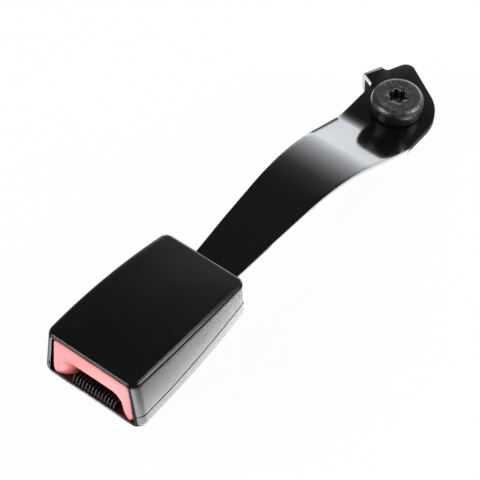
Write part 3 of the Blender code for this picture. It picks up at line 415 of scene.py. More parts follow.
print("housing is", round(float(top_height(0.0)), 1), "mm high at the mouth")


# %% Cross-sections of the two covers
def cover_rows(depth, side_inset, flat_inset, edge_height, radius, upper):
    """Half a cross-section at each depth, mirrored: along the side line, round the corner, along the flat.

    The corner's centre lies one radius inside both lines, so its distance from the side line
    is the radius: x = start + lean * z - radius * sqrt(1 + lean^2).
    """
    arrays = np.broadcast_arrays(depth, side_inset, flat_inset, edge_height)
    depth, side_inset, flat_inset, edge = (values[:, None] for values in arrays)
    start, lean = side_line(depth, side_inset)
    tilt = np.arctan(-lean)
    if upper:
        flat = top_height(depth) - flat_inset
        centre_z = flat - radius
        last = math.pi / 2
    else:
        flat = 0.0 * depth + flat_inset
        centre_z = flat + radius
        last = -math.pi / 2
    centre_x = start + lean * centre_z - radius * np.sqrt(1 + lean * lean)
    touch = centre_z + radius * np.sin(tilt)
    share = np.linspace(0.0, 1.0, 13)[None, :]
    side_z = edge + (touch - edge) * share
    side_x = start + lean * side_z
    angle = tilt + (last - tilt) * np.linspace(0.0, 1.0, 12)[None, 1:]
    corner_x = centre_x + radius * np.cos(angle)
    corner_z = centre_z + radius * np.sin(angle)
    flat_x = centre_x * (1 - np.linspace(0.0, 1.0, 9)[None, 1:])
    flat_z = flat + 0.0 * flat_x
    x = np.concatenate([side_x, corner_x, flat_x], axis=1)
    z = np.concatenate([side_z, corner_z, flat_z], axis=1)
    x = np.concatenate([x, -x[:, -2::-1]], axis=1)
    z = np.concatenate([z, z[:, -2::-1]], axis=1)
    y = mouth_y + depth + 0.0 * x
    return np.stack([x, y, deck_rise + z], axis=-1)


def round_loss(radius, distance):
    """How far a quarter round has drawn in at a distance past its start."""
    distance = np.clip(distance, 0.0, radius)
    return radius - np.sqrt(radius * radius - distance * distance)


def mouth_turn(depth):
    """How far the sides have turned in towards the mouth at a depth."""
    return round_loss(mouth_turn_radius, mouth_turn_depth - depth)


def cover_stations(wall):
    """Depths and insets of the rows, outer and inner: the mouth's lip, the body, then the round tail."""
    lip_turn = np.linspace(0.0, math.pi / 2, 8)
    tail_turn = np.linspace(0.0, math.pi / 2, 15)[1:]
    body_end = housing_length - tail_corner_radius
    front = np.linspace(lip_radius, mouth_turn_depth, 9)[1:]
    body = np.linspace(mouth_turn_depth, body_end, 28)[1:]

    def stations(lip, corner):
        """Rows for one of the two surfaces, with its own lip depth and tail corner."""
        depth = np.concatenate([lip * (1 - np.cos(lip_turn)), front, body,
                                body_end + corner * np.sin(tail_turn)])
        flat = np.concatenate([1 - np.sin(lip_turn), np.zeros(len(depth) - len(lip_turn))])
        tail = np.concatenate([np.zeros(len(depth) - len(tail_turn)), corner * (1 - np.cos(tail_turn))])
        return depth, mouth_turn(depth) + tail, flat

    outer_depth, outer_side, lip_share = stations(lip_radius, tail_corner_radius)
    outer_side = outer_side + round_loss(side_lip_radius, side_lip_radius - outer_depth)
    outer_flat = lip_radius * lip_share
    outer_flat += round_loss(tail_edge_radius, outer_depth - housing_length + tail_edge_radius)
    inner_lip = wall - lip_radius
    inner_depth, inner_side, lip_share = stations(inner_lip, tail_corner_radius - wall)
    inner_side = wall + inner_side - inner_lip * lip_share
    inner_flat = wall - inner_lip * lip_share
    return (outer_depth, outer_side, outer_flat), (inner_depth, inner_side, inner_flat)


def closed_tail(rows):
    """Add rows that fill the flat tail, from the last cross-section to the line between its two ends."""
    last = rows[-1]
    line = last[0] + np.linspace(0.0, 1.0, len(last))[:, None] * (last[-1] - last[0])
    return np.concatenate([rows, spread(last, line, 7)[1:]])


def rim(outer, inner, via):
    """A strip from one border to another through lines at (share of the way, drop)."""
    lines = [outer]
    for share, drop in via:
        lines.append(outer + share * (inner - outer))
        lines[-1][:, 2] -= drop
    return np.stack([*lines, inner], axis=1)


def cover_patches(outside, inside, strips):
    """The outside, the inside, the mouth's strip between them, and the given strips along the seam."""
    return [sheet(part) for part in (outside, inside, np.stack([outside[0], inside[0]]), *strips)]


print("cover sections ready")

# %% [markdown]
# ## The upper cover
# It is one moulding: top, sides and tail, with a skirt inside its lower edge that laps into the tray below.
# A box with Bevel and Solidify would give the wall, but not crown, lean and rounded lip together.
# So its outside and inside are grids of one size, and strips join them at the mouth and the seam.

# %% Build the upper cover
(outer_depth, outer_side, outer_flat), (inner_depth, inner_side, inner_flat) = cover_stations(cover_wall)
lap = 2.6
seam_outer = parting_height(outer_depth) + parting_gap
seam_inner = parting_height(inner_depth) + parting_gap
seam_chamfer = 0.4
chamfer = seam_chamfer * np.clip(outer_depth / 2.0, 0.0, 1.0)
upper_outside = closed_tail(cover_rows(outer_depth, outer_side, outer_flat, seam_outer + chamfer,
                                       top_edge_radius, True))
upper_inside = closed_tail(cover_rows(inner_depth, inner_side, inner_flat, seam_inner,
                                      top_edge_radius - 0.8, True))
row_depth = (upper_outside[:, 0, 1] - mouth_y)
skirt = lap * np.clip((housing_length - 7.0 - row_depth) / 5.0, 0.0, 1.0)
chamfer = seam_chamfer * np.clip(row_depth / 2.0, 0.0, 1.0)
skirt_steps = [(0.18, chamfer * 0.82), (0.5, chamfer * 0.5), (0.55, skirt), (0.95, skirt)]
flat_steps = [(0.18, seam_chamfer * 0.82), (0.5, seam_chamfer * 0.5),
              (0.55, seam_chamfer * 0.45), (0.95, 0.0)]
upper_strips = [rim(upper_outside[:, 0], upper_inside[:, 0], skirt_steps),
                rim(upper_outside[:, -1], upper_inside[:, -1], skirt_steps),
                rim(upper_outside[-1], upper_inside[-1], flat_steps)]
dress("upper_cover_moulding", cover_patches(upper_outside, upper_inside, upper_strips),
      "housing", "cover_plastic", "upper_cover")

# %% [markdown]
# ## The lower cover
# The tray has the same form below the seam, a rebate for the skirt, and a slot in its tail for the strap.
# A slot would need its own rows and columns in the grid, so here a Boolean cuts it out of the mesh.

# %% Build the lower cover
foot_lip = 0.2
outer_flat = outer_flat - round_loss(lip_radius, lip_radius - outer_depth)
outer_flat = outer_flat + round_loss(foot_lip, foot_lip - outer_depth)
inner_flat = inner_flat + 0.75 * (cover_wall - inner_flat)
thinner_floor = cover_wall - floor_wall
rebate = (lap + 0.3) * np.clip((housing_length - 7.0 - inner_depth) / (5.0), 0.0, 1.0)
lower_outside = closed_tail(cover_rows(outer_depth, outer_side, outer_flat, parting_height(outer_depth),
                                       foot_edge_radius, False))
lower_seam = parting_height(inner_depth) - rebate
lower_inside = closed_tail(cover_rows(inner_depth, inner_side, inner_flat - thinner_floor, lower_seam,
                                      foot_edge_radius - floor_wall, False))
tail_rows = len(lower_outside) - len(outer_depth)
rebate_rows = np.concatenate([rebate, np.zeros(tail_rows)])


def rebate_rim(outer, inner, drop):
    """The seam's strip: half way in on the level, down into the rebate, then in to the inner wall."""
    level_inner = inner.copy()
    level_inner[:, 2] = outer[:, 2]
    middle = outer + 0.47 * (level_inner - outer)
    low_middle = middle.copy()
    low_middle[:, 2] -= drop
    return np.stack([outer, middle, low_middle, inner], axis=1)


lower_strips = [rebate_rim(lower_outside[:, 0], lower_inside[:, 0], rebate_rows),
                rebate_rim(lower_outside[:, -1], lower_inside[:, -1], rebate_rows),
                rebate_rim(lower_outside[-1], lower_inside[-1], 0.0)]
lower_cover = make_object("lower_cover_moulding", cover_patches(lower_outside, lower_inside, lower_strips))

# %% [markdown]
# ## Rounded blocks
# Posts, hooks, arms and plates are an outline carried a short way, with rounded ends.
# The outline shrinks a little at each end, in steps along a quarter round, and a fan closes it.

# %% Outline and block helpers
def rounded_corners(corners, steps=6):
    """Corners (u, v, radius) become an outline; an arc touches both sides at radius / tan(half angle)."""
    points = []
    for index, (u, v, radius) in enumerate(corners):
        here = np.array((u, v), float)
        if radius <= 0.0:
            points.append(here[None])
            continue
        back = np.array(corners[index - 1][:2]) - here
        ahead = np.array(corners[(index + 1) % len(corners)][:2]) - here
        back = back / np.linalg.norm(back)
        ahead = ahead / np.linalg.norm(ahead)
        half = math.acos(np.clip(back @ ahead, -1.0, 1.0)) / 2
        middle = (back + ahead) / np.linalg.norm(back + ahead)
        centre = here + middle * (radius / math.sin(half))
        start = here + back * (radius / math.tan(half)) - centre
        side = here + ahead * (radius / math.tan(half)) - centre
        sweep = math.atan2(start[0] * side[1] - start[1] * side[0], start @ side)
        angle = np.linspace(0.0, sweep, steps + 1)[:, None]
        points.append(centre + start * np.cos(angle) + np.array((-start[1], start[0])) * np.sin(angle))
    return np.concatenate(points)


def shrink(outline, inset):
    """Move each point of a closed outline inwards along the mean normal of its two sides."""
    after = np.roll(outline, -1, axis=0) - outline
    after = after / np.maximum(np.linalg.norm(after, axis=1), 1e-12)[:, None]
    before = np.roll(after, 1, axis=0)
    area = np.sum(outline[:, 0] * np.roll(outline[:, 1], -1) - outline[:, 1] * np.roll(outline[:, 0], -1))
    turn_in = np.sign(area)
    normal = turn_in * np.stack([-(before + after)[:, 1], (before + after)[:, 0]], axis=1)
    length = np.maximum(np.linalg.norm(normal, axis=1), 1e-9)
    normal = normal / length[:, None]
    return outline + inset * normal / np.clip(length / 2, 0.5, 1.0)[:, None]


def block(outline, low, high, axis, edge=0.0):
    """An outline carried along an axis from low to high, with rounded ends, as a closed patch."""
    turn = np.linspace(0.0, math.pi / 2, 4) if edge > 0.0 else np.array([math.pi / 2])
    inset = edge * (1 - np.sin(turn))
    step = edge * (1 - np.cos(turn))
    places = np.concatenate([low + step, high - step[::-1]])
    insets = np.concatenate([inset, inset[::-1]])
    rings = np.stack([shrink(outline, amount) if amount > 0 else outline for amount in insets])
    rings = np.concatenate([np.broadcast_to(rings[0].mean(axis=0), rings[:1].shape), rings,
                            np.broadcast_to(rings[-1].mean(axis=0), rings[:1].shape)])
    places = np.concatenate([places[:1], places, places[-1:]])
    along = np.broadcast_to(places[:, None], rings.shape[:2])
    order = {"X": (along, rings[..., 0], rings[..., 1]),
             "Y": (rings[..., 0], along, rings[..., 1]),
             "Z": (rings[..., 0], rings[..., 1], along)}[axis]
    return sheet(np.stack(order, axis=-1), wrap_columns=True)


def plain_block(low, high, corner, edge, axis="Z"):
    """A box between two corners with rounded corners across the axis and rounded ends along it."""
    keep = {"X": (1, 2), "Y": (0, 2), "Z": (0, 1)}[axis]
    run = {"X": 0, "Y": 1, "Z": 2}[axis]
    u0, v0 = (low[index] for index in keep)
    u1, v1 = (high[index] for index in keep)
    outline = rounded_corners([(u0, v0, corner), (u1, v0, corner), (u1, v1, corner), (u0, v1, corner)], 4)
    return block(outline, low[run], high[run], axis, edge)


# %% Finish the lower cover
frame_sheet = 1.8
seat_gap, running_gap = 0.3, 0.4
base_bottom = deck_rise + floor_wall + seat_gap
base_top = base_bottom + frame_sheet
strap_level = base_top + seat_gap
strap_thickness = 3.0
exit_half = 10.9


def cut_away(item, cutter_patches):
    """Take closed patches away from a piece with an exact Boolean, and keep the result as its mesh."""
    cutter = make_object("cutter", cutter_patches)
    step = item.modifiers.new("cut", "BOOLEAN")
    step.operation = "DIFFERENCE"
    step.solver = "EXACT"
    step.object = cutter
    bake(item)
    bpy.data.objects.remove(cutter, do_unlink=True)
    return item


slot_low = (-exit_half, tail_y - 5.0, strap_level - 0.5)
slot_high = (exit_half, tail_y + 5.0, strap_level + strap_thickness + 0.5)
cut_away(lower_cover, [plain_block(slot_low, slot_high, 0.6, 0.0, "Y")])
settle(lower_cover, "housing", "cover_plastic", "lower_cover")

# %% Spring posts in the tray and snap hooks in the cover
arm_inner = 15.1
arm_width = 3.8
arm_middle = arm_inner + arm_width / 2
arm_low = base_bottom + running_gap
arm_tail_high = arm_low + 3.8
arm_tail_y = mouth_y + 30.95
post_y = arm_tail_y + 14.6
peg_z = (arm_low + arm_tail_high) / 2
peg_radius, post_thickness, post_high = 1.0, 2.4, 7.0
hook_half, hook_depth, hook_low, hook_high = 2.5, 1.3, 4.2, 11.1


def peg(x):
    """A round peg with a domed tip that centres a return spring."""
    angle = np.linspace(0.0, 2 * math.pi, 20, endpoint=False)
    outline = np.stack([x + peg_radius * np.cos(angle), peg_z + peg_radius * np.sin(angle)], axis=1)
    return block(outline, post_y - 3.5, post_y + 1.0, "Y", 0.4)


post_patches = []
for side in (-1, 1):
    x = side * arm_middle
    post_patches.append(plain_block((x - arm_width / 2, post_y, deck_rise + floor_wall / 2),
                                    (x + arm_width / 2, post_y + post_thickness, deck_rise + post_high),
                                    0.4, 0.4))
    post_patches.append(peg(x))
dress("spring_posts", post_patches, "housing", "cover_plastic")

hook_patches = []
for side in (-1, 1):
    for depth in (33.0, 60.0):
        start, lean = side_line(depth, cover_wall)
        wall_x = float(start + lean * 12.0)
        edges = sorted((side * (wall_x - hook_depth), side * (wall_x - seat_gap)))
        hook_y = mouth_y + depth
        hook_patches.append(plain_block((edges[0], hook_y - hook_half, deck_rise + hook_low),
                                        (edges[1], hook_y + hook_half, deck_rise + hook_high), 0.3, 0.3))
dress("snap_hooks", hook_patches, "housing", "cover_plastic")

# %% [markdown]
# ## The press button
# Its face is an arch: a bar above and two legs that scoop inwards to guide the tongue.
# Boxes cannot give the scoop. The face is one grid instead: a column runs from the back of the outer side
# round the front edge, across the face and down the funnel to the throat, and the columns follow the arch.

# %% Curves of the button
button_setback = 0.65
button_depth = 8.2
throat_depth = 6.4


def smooth_curve(points, count):
    """A smooth line through the points, in even steps: the slope at a point is half the chord past it."""
    points = np.array(points, float)
    padded = np.concatenate([[2 * points[0] - points[1]], points, [2 * points[-1] - points[-2]]])
    share = np.linspace(0.0, 1.0, 12, endpoint=False)[:, None, None]
    a, b, c, d = padded[:-3], padded[1:-2], padded[2:-1], padded[3:]
    fine = 0.5 * (2 * b + (c - a) * share + (2 * a - 5 * b + 4 * c - d) * share ** 2
                  + (3 * b - 3 * c + d - a) * share ** 3)
    fine = np.concatenate([fine.transpose(1, 0, 2).reshape(-1, points.shape[1]), points[-1:]])
    length = np.concatenate([[0.0], np.cumsum(np.linalg.norm(np.diff(fine, axis=0), axis=1))])
    even = np.linspace(0.0, length[-1], count)
    return np.stack([np.interp(even, length, fine[:, index]) for index in range(fine.shape[1])], axis=1)


def mirrored(half):
    """A right half that ends on the middle line, followed by its mirror image."""
    left = half[-2::-1] * np.array((-1.0, 1.0))
    return np.concatenate([half, left])


arch_columns = 41
button_side = [(19.4, 1.1), (19.8, 1.4), (20.2, 2.1), (20.45, 3.2), (20.55, 4.6), (20.45, 7.5),
               (20.1, 12.0), (19.7, 17.0), (19.45, 20.6), (19.2, 21.9), (18.4, 22.75), (17.2, 23.0),
               (14.0, 23.05), (9.0, 23.1), (4.5, 23.1), (0.0, 23.1)]
arch_mouth = [(19.4, 1.5), (18.95, 2.3), (18.4, 3.6), (17.65, 5.4), (16.8, 7.5), (15.9, 9.2), (14.8, 10.6),
              (13.6, 11.6), (12.4, 12.4), (10.7, 13.0), (8.0, 13.3), (4.0, 13.35), (0.0, 13.35)]
arch_throat = [(11.4, 1.1), (11.4, 2.5), (11.4, 4.5), (11.4, 6.5), (11.4, 8.4), (11.35, 9.8), (11.1, 10.9),
               (10.5, 11.9), (9.6, 12.6), (8.6, 12.9), (6.0, 13.0), (3.0, 13.0), (0.0, 13.0)]
outer_curve, mouth_curve, throat_curve = (mirrored(smooth_curve(points, arch_columns))
                                          for points in (button_side, arch_mouth, arch_throat))
print("button face:", len(outer_curve), "columns")


# %% Build the button's face
def face_row(curve, depth):
    """A curve in (x, height) set at a depth behind the button's front."""
    depth = np.broadcast_to(depth, curve.shape[:1])
    return np.stack([curve[:, 0], mouth_y + button_setback + depth, deck_rise + curve[:, 1]], axis=1)


def drawn_in(curve, inset):
    """A curve moved towards the arch's inside by the inset, along its normal."""
    slope = np.gradient(curve, axis=0)
    slope = slope / np.linalg.norm(slope, axis=1)[:, None]
    return curve + inset * np.stack([-slope[:, 1], slope[:, 0]], axis=1)


edge_radius = 0.8
rows = [face_row(outer_curve, button_depth), face_row(outer_curve, button_depth / 2)]
for turn in np.linspace(math.pi / 2, 0.0, 6):
    edge_curve = drawn_in(outer_curve, edge_radius * (1 - math.sin(turn)))
    rows.append(face_row(edge_curve, edge_radius * (1 - math.cos(turn))))
front_curve = drawn_in(outer_curve, edge_radius)
lip_curve = mouth_curve + (front_curve - mouth_curve) * 0.12
for share in (0.25, 0.5, 0.75, 1.0):
    rows.append(face_row(front_curve + (lip_curve - front_curve) * share, 0.0))
for share in np.linspace(0.0, 1.0, 19)[1:]:
    # The funnel: the curve eases from the arch's mouth to its throat as the square of what is left,
    # and the depth starts slowly, which rounds the edge between face and funnel.
    left = (1 - share) ** 1.7
    depth = throat_depth * share ** 1.35
    rows.append(face_row(throat_curve + (lip_curve - throat_curve) * left, depth))
rows.append(face_row(throat_curve, button_depth))
face_loop = np.stack(rows)
button_patches = [
    sheet(face_loop, wrap_rows=True),
    sheet(np.stack([face_loop[:, 0], lone(face_loop[:, 0])]), wrap_columns=True),
    sheet(np.stack([face_loop[:, -1], lone(face_loop[:, -1])]), wrap_columns=True),
]

# %% Roof and arms of the button
roof_front = button_setback + button_depth / 2
roof_back = button_setback + 25.4
roof_inset = cover_wall + 1.1
roof_half = arm_inner + arm_width


def roof_high(depth):
    """Height of the roof, which falls with the cover above it."""
    return deck_rise + mouth_height - (mouth_height - tail_height) * depth / housing_length - roof_inset


roof_side = rounded_corners([
    (mouth_y + roof_front, roof_high(roof_front) - 2.0, 0.3),
    (mouth_y + roof_back, roof_high(roof_back) - 2.0, 0.5),
    (mouth_y + roof_back, roof_high(roof_back), 0.5),
    (mouth_y + roof_front, roof_high(roof_front), 0.3)])
button_patches.append(block(roof_side, -roof_half, roof_half, "X", 0.5))

pivot_y, pivot_z = mouth_y + 40.0, deck_rise + 11.2
pin_y, pin_z = mouth_y + 24.0, deck_rise + 12.2
latch_swing = math.radians(12.0)
button_travel = 6.0
swung_y = pivot_y - (pivot_y - pin_y) * math.cos(latch_swing) + (pin_z - pivot_z) * math.sin(latch_swing)
swung_z = pivot_z + (pivot_y - pin_y) * math.sin(latch_swing) + (pin_z - pivot_z) * math.cos(latch_swing)
way = np.array((swung_y - button_travel - pin_y, swung_z - pin_z))
way = way / np.linalg.norm(way)
clear = 1.5 + seat_gap
ramp_foot = np.array((pin_y, pin_z)) - clear * np.array((abs(way[1]), abs(way[0])))
crest_z = swung_z - clear * abs(way[0])
crest_y = ramp_foot[0] + (crest_z - ramp_foot[1]) * way[0] / way[1]
low_y = ramp_foot[0] + (arm_tail_high - ramp_foot[1]) * way[0] / way[1]
arm_side = rounded_corners([
    (mouth_y + roof_front, arm_low, 0.3), (arm_tail_y, arm_low, 0.4), (arm_tail_y, arm_tail_high, 0.4),
    (low_y, arm_tail_high, 0.6), (crest_y, crest_z, 0.6), (mouth_y + roof_front, crest_z, 0.3)], 4)
for side in (-1, 1):
    edges = sorted((side * arm_inner, side * roof_half))
    button_patches.append(block(arm_side, edges[0], edges[1], "X", 0.3))
    web_back = mouth_y + button_setback + 1.5 * button_depth
    button_patches.append(plain_block((edges[0], mouth_y + roof_front, arm_low + 3.8),
                                      (edges[1], web_back, roof_high(roof_front) - 1.0), 0.3, 0.0))
dress("press_button_moulding", button_patches, "button", "button_plastic", "press_button", angle=50.0)

# %% [markdown]
# ## The comb in the mouth
# The tongue slides in over a comb of fourteen thin ribs that rise steeply behind the lip.
# A rib is its side line carried across its width, and is then repeated at an even pitch.

# %% Build the tongue guide
guide_start = mouth_y + 1.3
guide_end = mouth_y + 9.0
ramp_end = guide_start + 2.7
ramp_low = base_bottom + 0.3
ramp_high = ramp_low + 1.5
rib_pitch, rib_width = 1.64, 0.56
guide_half = 10.9
deck_side = rounded_corners([(guide_start, base_bottom, 0.0), (guide_end, base_bottom, 0.0),
                             (guide_end, ramp_high, 0.2), (ramp_end + 2.0, ramp_low + 0.2, 0.4),
                             (guide_start, ramp_low - 0.1, 0.1)])
guide_patches = [block(deck_side, -guide_half, guide_half, "X", 0.2)]

fin_start = mouth_y + 0.6
fin_rise = 1.55
fin_top = deck_rise + 4.3
crest_line = rounded_corners([(fin_start, deck_rise + 1.5, 0.0), (fin_start + 0.1, deck_rise + 1.75, 0.1),
                              (fin_start + fin_rise, fin_top, 0.5), (guide_end, fin_top + 0.1, 0.3),
                              (guide_end, base_bottom, 0.0), (guide_start, base_bottom, 0.0)])


def rib(middle):
    """One rib: its side line carried across its width, with a narrow round on both sides of the crest."""
    return block(crest_line, middle - rib_width / 2, middle + rib_width / 2, "X", 0.13)


guide_patches += [rib((index - 6.5) * rib_pitch) for index in range(14)]
dress("tongue_guide_comb", guide_patches, "housing", "guide_plastic", "tongue_guide")

# %% [markdown]
# ## The strap and its anchor plate
# It is one pressed sheet, 3 mm thick: a long double bend, a round-ended plate and a tab turned down.
# Only its top face is drawn, as a grid along the bend and a flat fill for the plate. Solidify gives it
# its thickness, and a narrow Bevel gives it the rolled edges of a blanked sheet.

# %% Side line and plan of the strap
strap_top = strap_level + strap_thickness
strap_corners = [(mouth_y + 41.0, strap_top, 0.0), (mouth_y + 82.0, strap_top, 80.0),
                 (-110.5, strap_top + 1.45, 200.0), (-64.0, strap_top + 3.2, 100.0),
                 (-18.3, strap_thickness, 20.0), (40.0, strap_thickness, 0.0)]
side_path = rounded_corners(strap_corners, 24)
plate_start = side_path[-2, 0]
head_y = -15.8
half_tongue, half_head = 10.4, 17.8


def strap_half(y):
    """Half width: the tongue's, then a straight widening to the plate with a swell of sin(pi * share)."""
    share = np.clip((y - tail_y) / (head_y - tail_y), 0.0, 1.0)
    half = half_tongue + (half_head - half_tongue) * share + 0.45 * np.sin(math.pi * share)
    start = mouth_y + 41.0
    return half - round_loss(2.0, 2.0 - (y - start))


even_y = np.unique(np.concatenate([np.linspace(mouth_y + 41.0, plate_start, 150), side_path[:-1, 0],
                                   mouth_y + 41.0 + np.linspace(0.0, 2.0, 7)]))
even_z = np.interp(even_y, side_path[:, 0], side_path[:, 1])
across = np.linspace(-1.0, 1.0, 17)
body_grid = np.stack([strap_half(even_y)[:, None] * across[None, :],
                      np.broadcast_to(even_y[:, None], (len(even_y), 17)),
                      np.broadcast_to(even_z[:, None], (len(even_y), 17))], axis=-1)
print("strap rows:", len(even_y))


# %% Plan of the plate
def meet(first, first_way, second, second_way):
    """Where two lines in the plane meet."""
    matrix = np.array([first_way, -np.array(second_way)]).T
    first = np.array(first)
    return first + np.linalg.solve(matrix, np.array(second) - first)[0] * np.array(first_way)


end_angle, side_angle, tab_angle = math.radians(31.0), math.radians(25.6), math.radians(24.8)
end_way = np.array((-math.cos(end_angle), math.sin(end_angle)))
end_point = (0.0, 20.7)
right_corner = meet(end_point, end_way, (half_head, 0.0), (0.0, 1.0))
side_way = np.array((math.sin(side_angle), math.cos(side_angle)))
side_point = np.array((-side_way[1], side_way[0])) * 22.9
left_corner = meet(end_point, end_way, side_point, side_way)
outward = np.array((-math.cos(tab_angle), math.sin(tab_angle)))
sideways = np.array((math.sin(tab_angle), math.cos(tab_angle)))
tab_bend = 3.6
tab_middle = outward * (27.9 - tab_bend) + sideways * 2.6
tab_far = tab_middle + sideways * 4.65
tab_near = tab_middle - sideways * 4.65
notch = meet(tab_far, outward, side_point, side_way)
root = meet(tab_near, outward, (-half_head, 0.0), (0.0, 1.0))
plate_corners = [(half_head, plate_start, 0.0), (*right_corner, 21.0), (*left_corner, 4.2),
                 (*notch, 2.2), (*tab_far, 0.0), (*tab_near, 0.0), (*root, 3.0),
                 (-half_head, plate_start, 0.0)]
plate_outline = rounded_corners(plate_corners, 14)
joint_row = body_grid[-1, 1:-1, :2]
plate_outline = np.concatenate([plate_outline, joint_row])
hole_angle = np.linspace(0.0, 2 * math.pi, 72, endpoint=False)
hole_ring = 8.2 * np.stack([np.cos(hole_angle), np.sin(hole_angle)], axis=1)


def fill_plate(outline, hole):
    """The flat between the outline and the hole, as triangles that keep both as edges."""
    points = np.concatenate([outline, hole])
    rings = np.arange(len(outline)), len(outline) + np.arange(len(hole))
    edges = np.concatenate([np.stack([ring, np.roll(ring, -1)], 1) for ring in rings])
    found = delaunay_2d_cdt((points * MM).tolist(), edges.tolist(), [], 1, 1e-7)
    flat = np.array([tuple(point) for point in found[0]]) / MM
    faces = [list(face) for face in found[2]]
    centres = np.array([flat[face].mean(axis=0) for face in faces])
    solid = [face for face, centre in zip(faces, centres) if np.hypot(*centre) > 8.15]
    return np.column_stack([flat, np.full(len(flat), strap_thickness)]), solid


plate_patch = fill_plate(plate_outline, hole_ring)
print("plate fill:", len(plate_patch[1]), "triangles")

# %% Build the strap
bend_turn = np.linspace(0.0, math.pi / 2, 13)
tab_out = np.concatenate([tab_bend * np.sin(bend_turn), [tab_bend, tab_bend]])
tab_drop = 13.5
tab_high = np.concatenate([strap_thickness - tab_bend * (1 - np.cos(bend_turn)),
                           [-5.0, strap_thickness - tab_drop]])
tab_rows = [np.stack([np.array((*(edge + outward * out), high)) for edge in (tab_far, tab_near)])
            for out, high in zip(tab_out, tab_high)]
strap = make_object("strap_and_anchor_plate", [sheet(body_grid), plate_patch, sheet(np.stack(tab_rows))])
if strap.data.polygons[0].normal.z < 0:
    strap.data.flip_normals()
wall = strap.modifiers.new("sheet", "SOLIDIFY")
wall.thickness = strap_thickness * MM
wall.offset = -1.0
wall.use_even_offset = True
round_edges(strap, 0.45, 3, 50.0)
settle(strap, "housing", "strap_paint", "anchor_strap", angle=45.0)

# %% [markdown]
# ## The anchor bolt
# The head is a turned form with a soft rim, and its six-lobe recess has a small chamfer.
# All of it can be one polar grid: a row has a radius and a height for each angle,
# so the recess is a radius that waves six times, and the thread is a radius that climbs one pitch a turn.

# %% Build the bolt
bolt_angle = np.linspace(0.0, 2 * math.pi, 144, endpoint=False)
bolt_seat = strap_thickness + seat_gap
bolt_top = bolt_seat + 8.7
lobe = (3.785 + 0.635 * np.cos(6 * (bolt_angle - math.radians(14.3))))
even = np.ones_like(bolt_angle)


def ring_row(radius, height):
    """Points at a radius and a height for each angle of the bolt."""
    radius = radius * even
    return np.stack([radius * np.cos(bolt_angle), radius * np.sin(bolt_angle), height * even], axis=1)


recess_and_top = [(0.0, 5.6), (2.4, 5.2), (lobe - 0.12, 5.0), (lobe, 4.8), (lobe, 2.5), (lobe, 0.5),
                  (lobe + 0.08, 0.3), (lobe + 0.35, 0.06), (lobe + 0.5, 0.0)]
recess_and_top += [(radius, 0.0) for radius in (5.6, 6.6, 7.6, 8.6, 9.3)]
bolt_rows = [ring_row(radius, bolt_top - drop) for radius, drop in recess_and_top]
for turn in np.linspace(0.0, math.radians(72.0), 9)[1:]:
    bolt_rows.append(ring_row(9.3 + 2.3 * math.sin(turn), bolt_top - 1.8 * (1 - math.cos(turn))))
head_side = smooth_curve([(11.49, 7.456), (11.85, 6.4), (12.0, 5.0), (12.0, 3.9), (11.85, 2.4), (11.6, 1.1),
                          (11.35, 0.35)], 14)[1:]
under_head = ((11.2, 0.12), (10.95, 0.0), (8.8, 0.0), (6.6, 0.0), (6.4, -0.2), (6.4, -1.6))
bolt_rows += [ring_row(radius, bolt_seat + height) for radius, height in (*head_side, *under_head)]
bolt_rows += [ring_row(6.4, 0.0), ring_row(5.5, -0.9)]
thread_pitch = 1.27
thread_z = np.linspace(-1.2, -14.8, 108)
for height in thread_z:
    phase = np.mod(height / thread_pitch - bolt_angle / (2 * math.pi), 1.0)
    groove = 0.72 * np.clip(1.25 * (1 - np.abs(2 * phase - 1)) - 0.125, 0.0, 1.0)
    fade = min(1.0, (thread_z[0] - height) / (1.0), (height - thread_z[-1]) / (0.8) + 0.4)
    bolt_rows.append(ring_row(5.5 - groove * fade, height))
bolt_rows += [ring_row(4.9, -15.3), ring_row(4.3, -15.9), ring_row(4.1, -16.0), ring_row(0.0, -16.0)]
dress("anchor_bolt_steel", [sheet(np.stack(bolt_rows), wrap_columns=True)],
      "bolt", "bolt_steel", "anchor_bolt", angle=32.0)


# %% [markdown]
# ## Bush, keeper and pins
# These are turned pieces: a profile of (radius, height) carried round an axis.

# %% Turned pieces
def turned(profile, steps=96):
    """A profile carried round the Z axis: each point makes a circle of its radius at its height."""
    profile = np.array(profile, float)
    angle = np.linspace(0.0, 2 * math.pi, steps, endpoint=False)[None, :]
    circles = (profile[:, :1] * np.cos(angle), profile[:, :1] * np.sin(angle), profile[:, 1:] + 0.0 * angle)
    return sheet(np.stack(circles, axis=-1), wrap_rows=True, wrap_columns=True)


bush_profile = rounded_corners([(6.7, 0.0, 0.25), (7.9, 0.0, 0.25),
                                (7.9, strap_thickness, 0.25), (6.7, strap_thickness, 0.25)], 4)
dress("shoulder_bush_ring", [turned(bush_profile)], "bolt", "pin_steel", "shoulder_bush")
keeper_profile = rounded_corners([(5.8, -3.8, 0.3), (9.4, -3.8, 0.5),
                                  (9.4, -2.2, 0.5), (5.8, -2.2, 0.3)], 4)
dress("bolt_keeper_ring", [turned(keeper_profile)], "bolt", "keeper_nylon", "bolt_keeper")

# %% [markdown]
# ## Springs
# A coil spring is a round wire along a helix whose first and last turns lie flat.
# The wire is a circle carried along the path; two arrows across the path are worked out for each point.

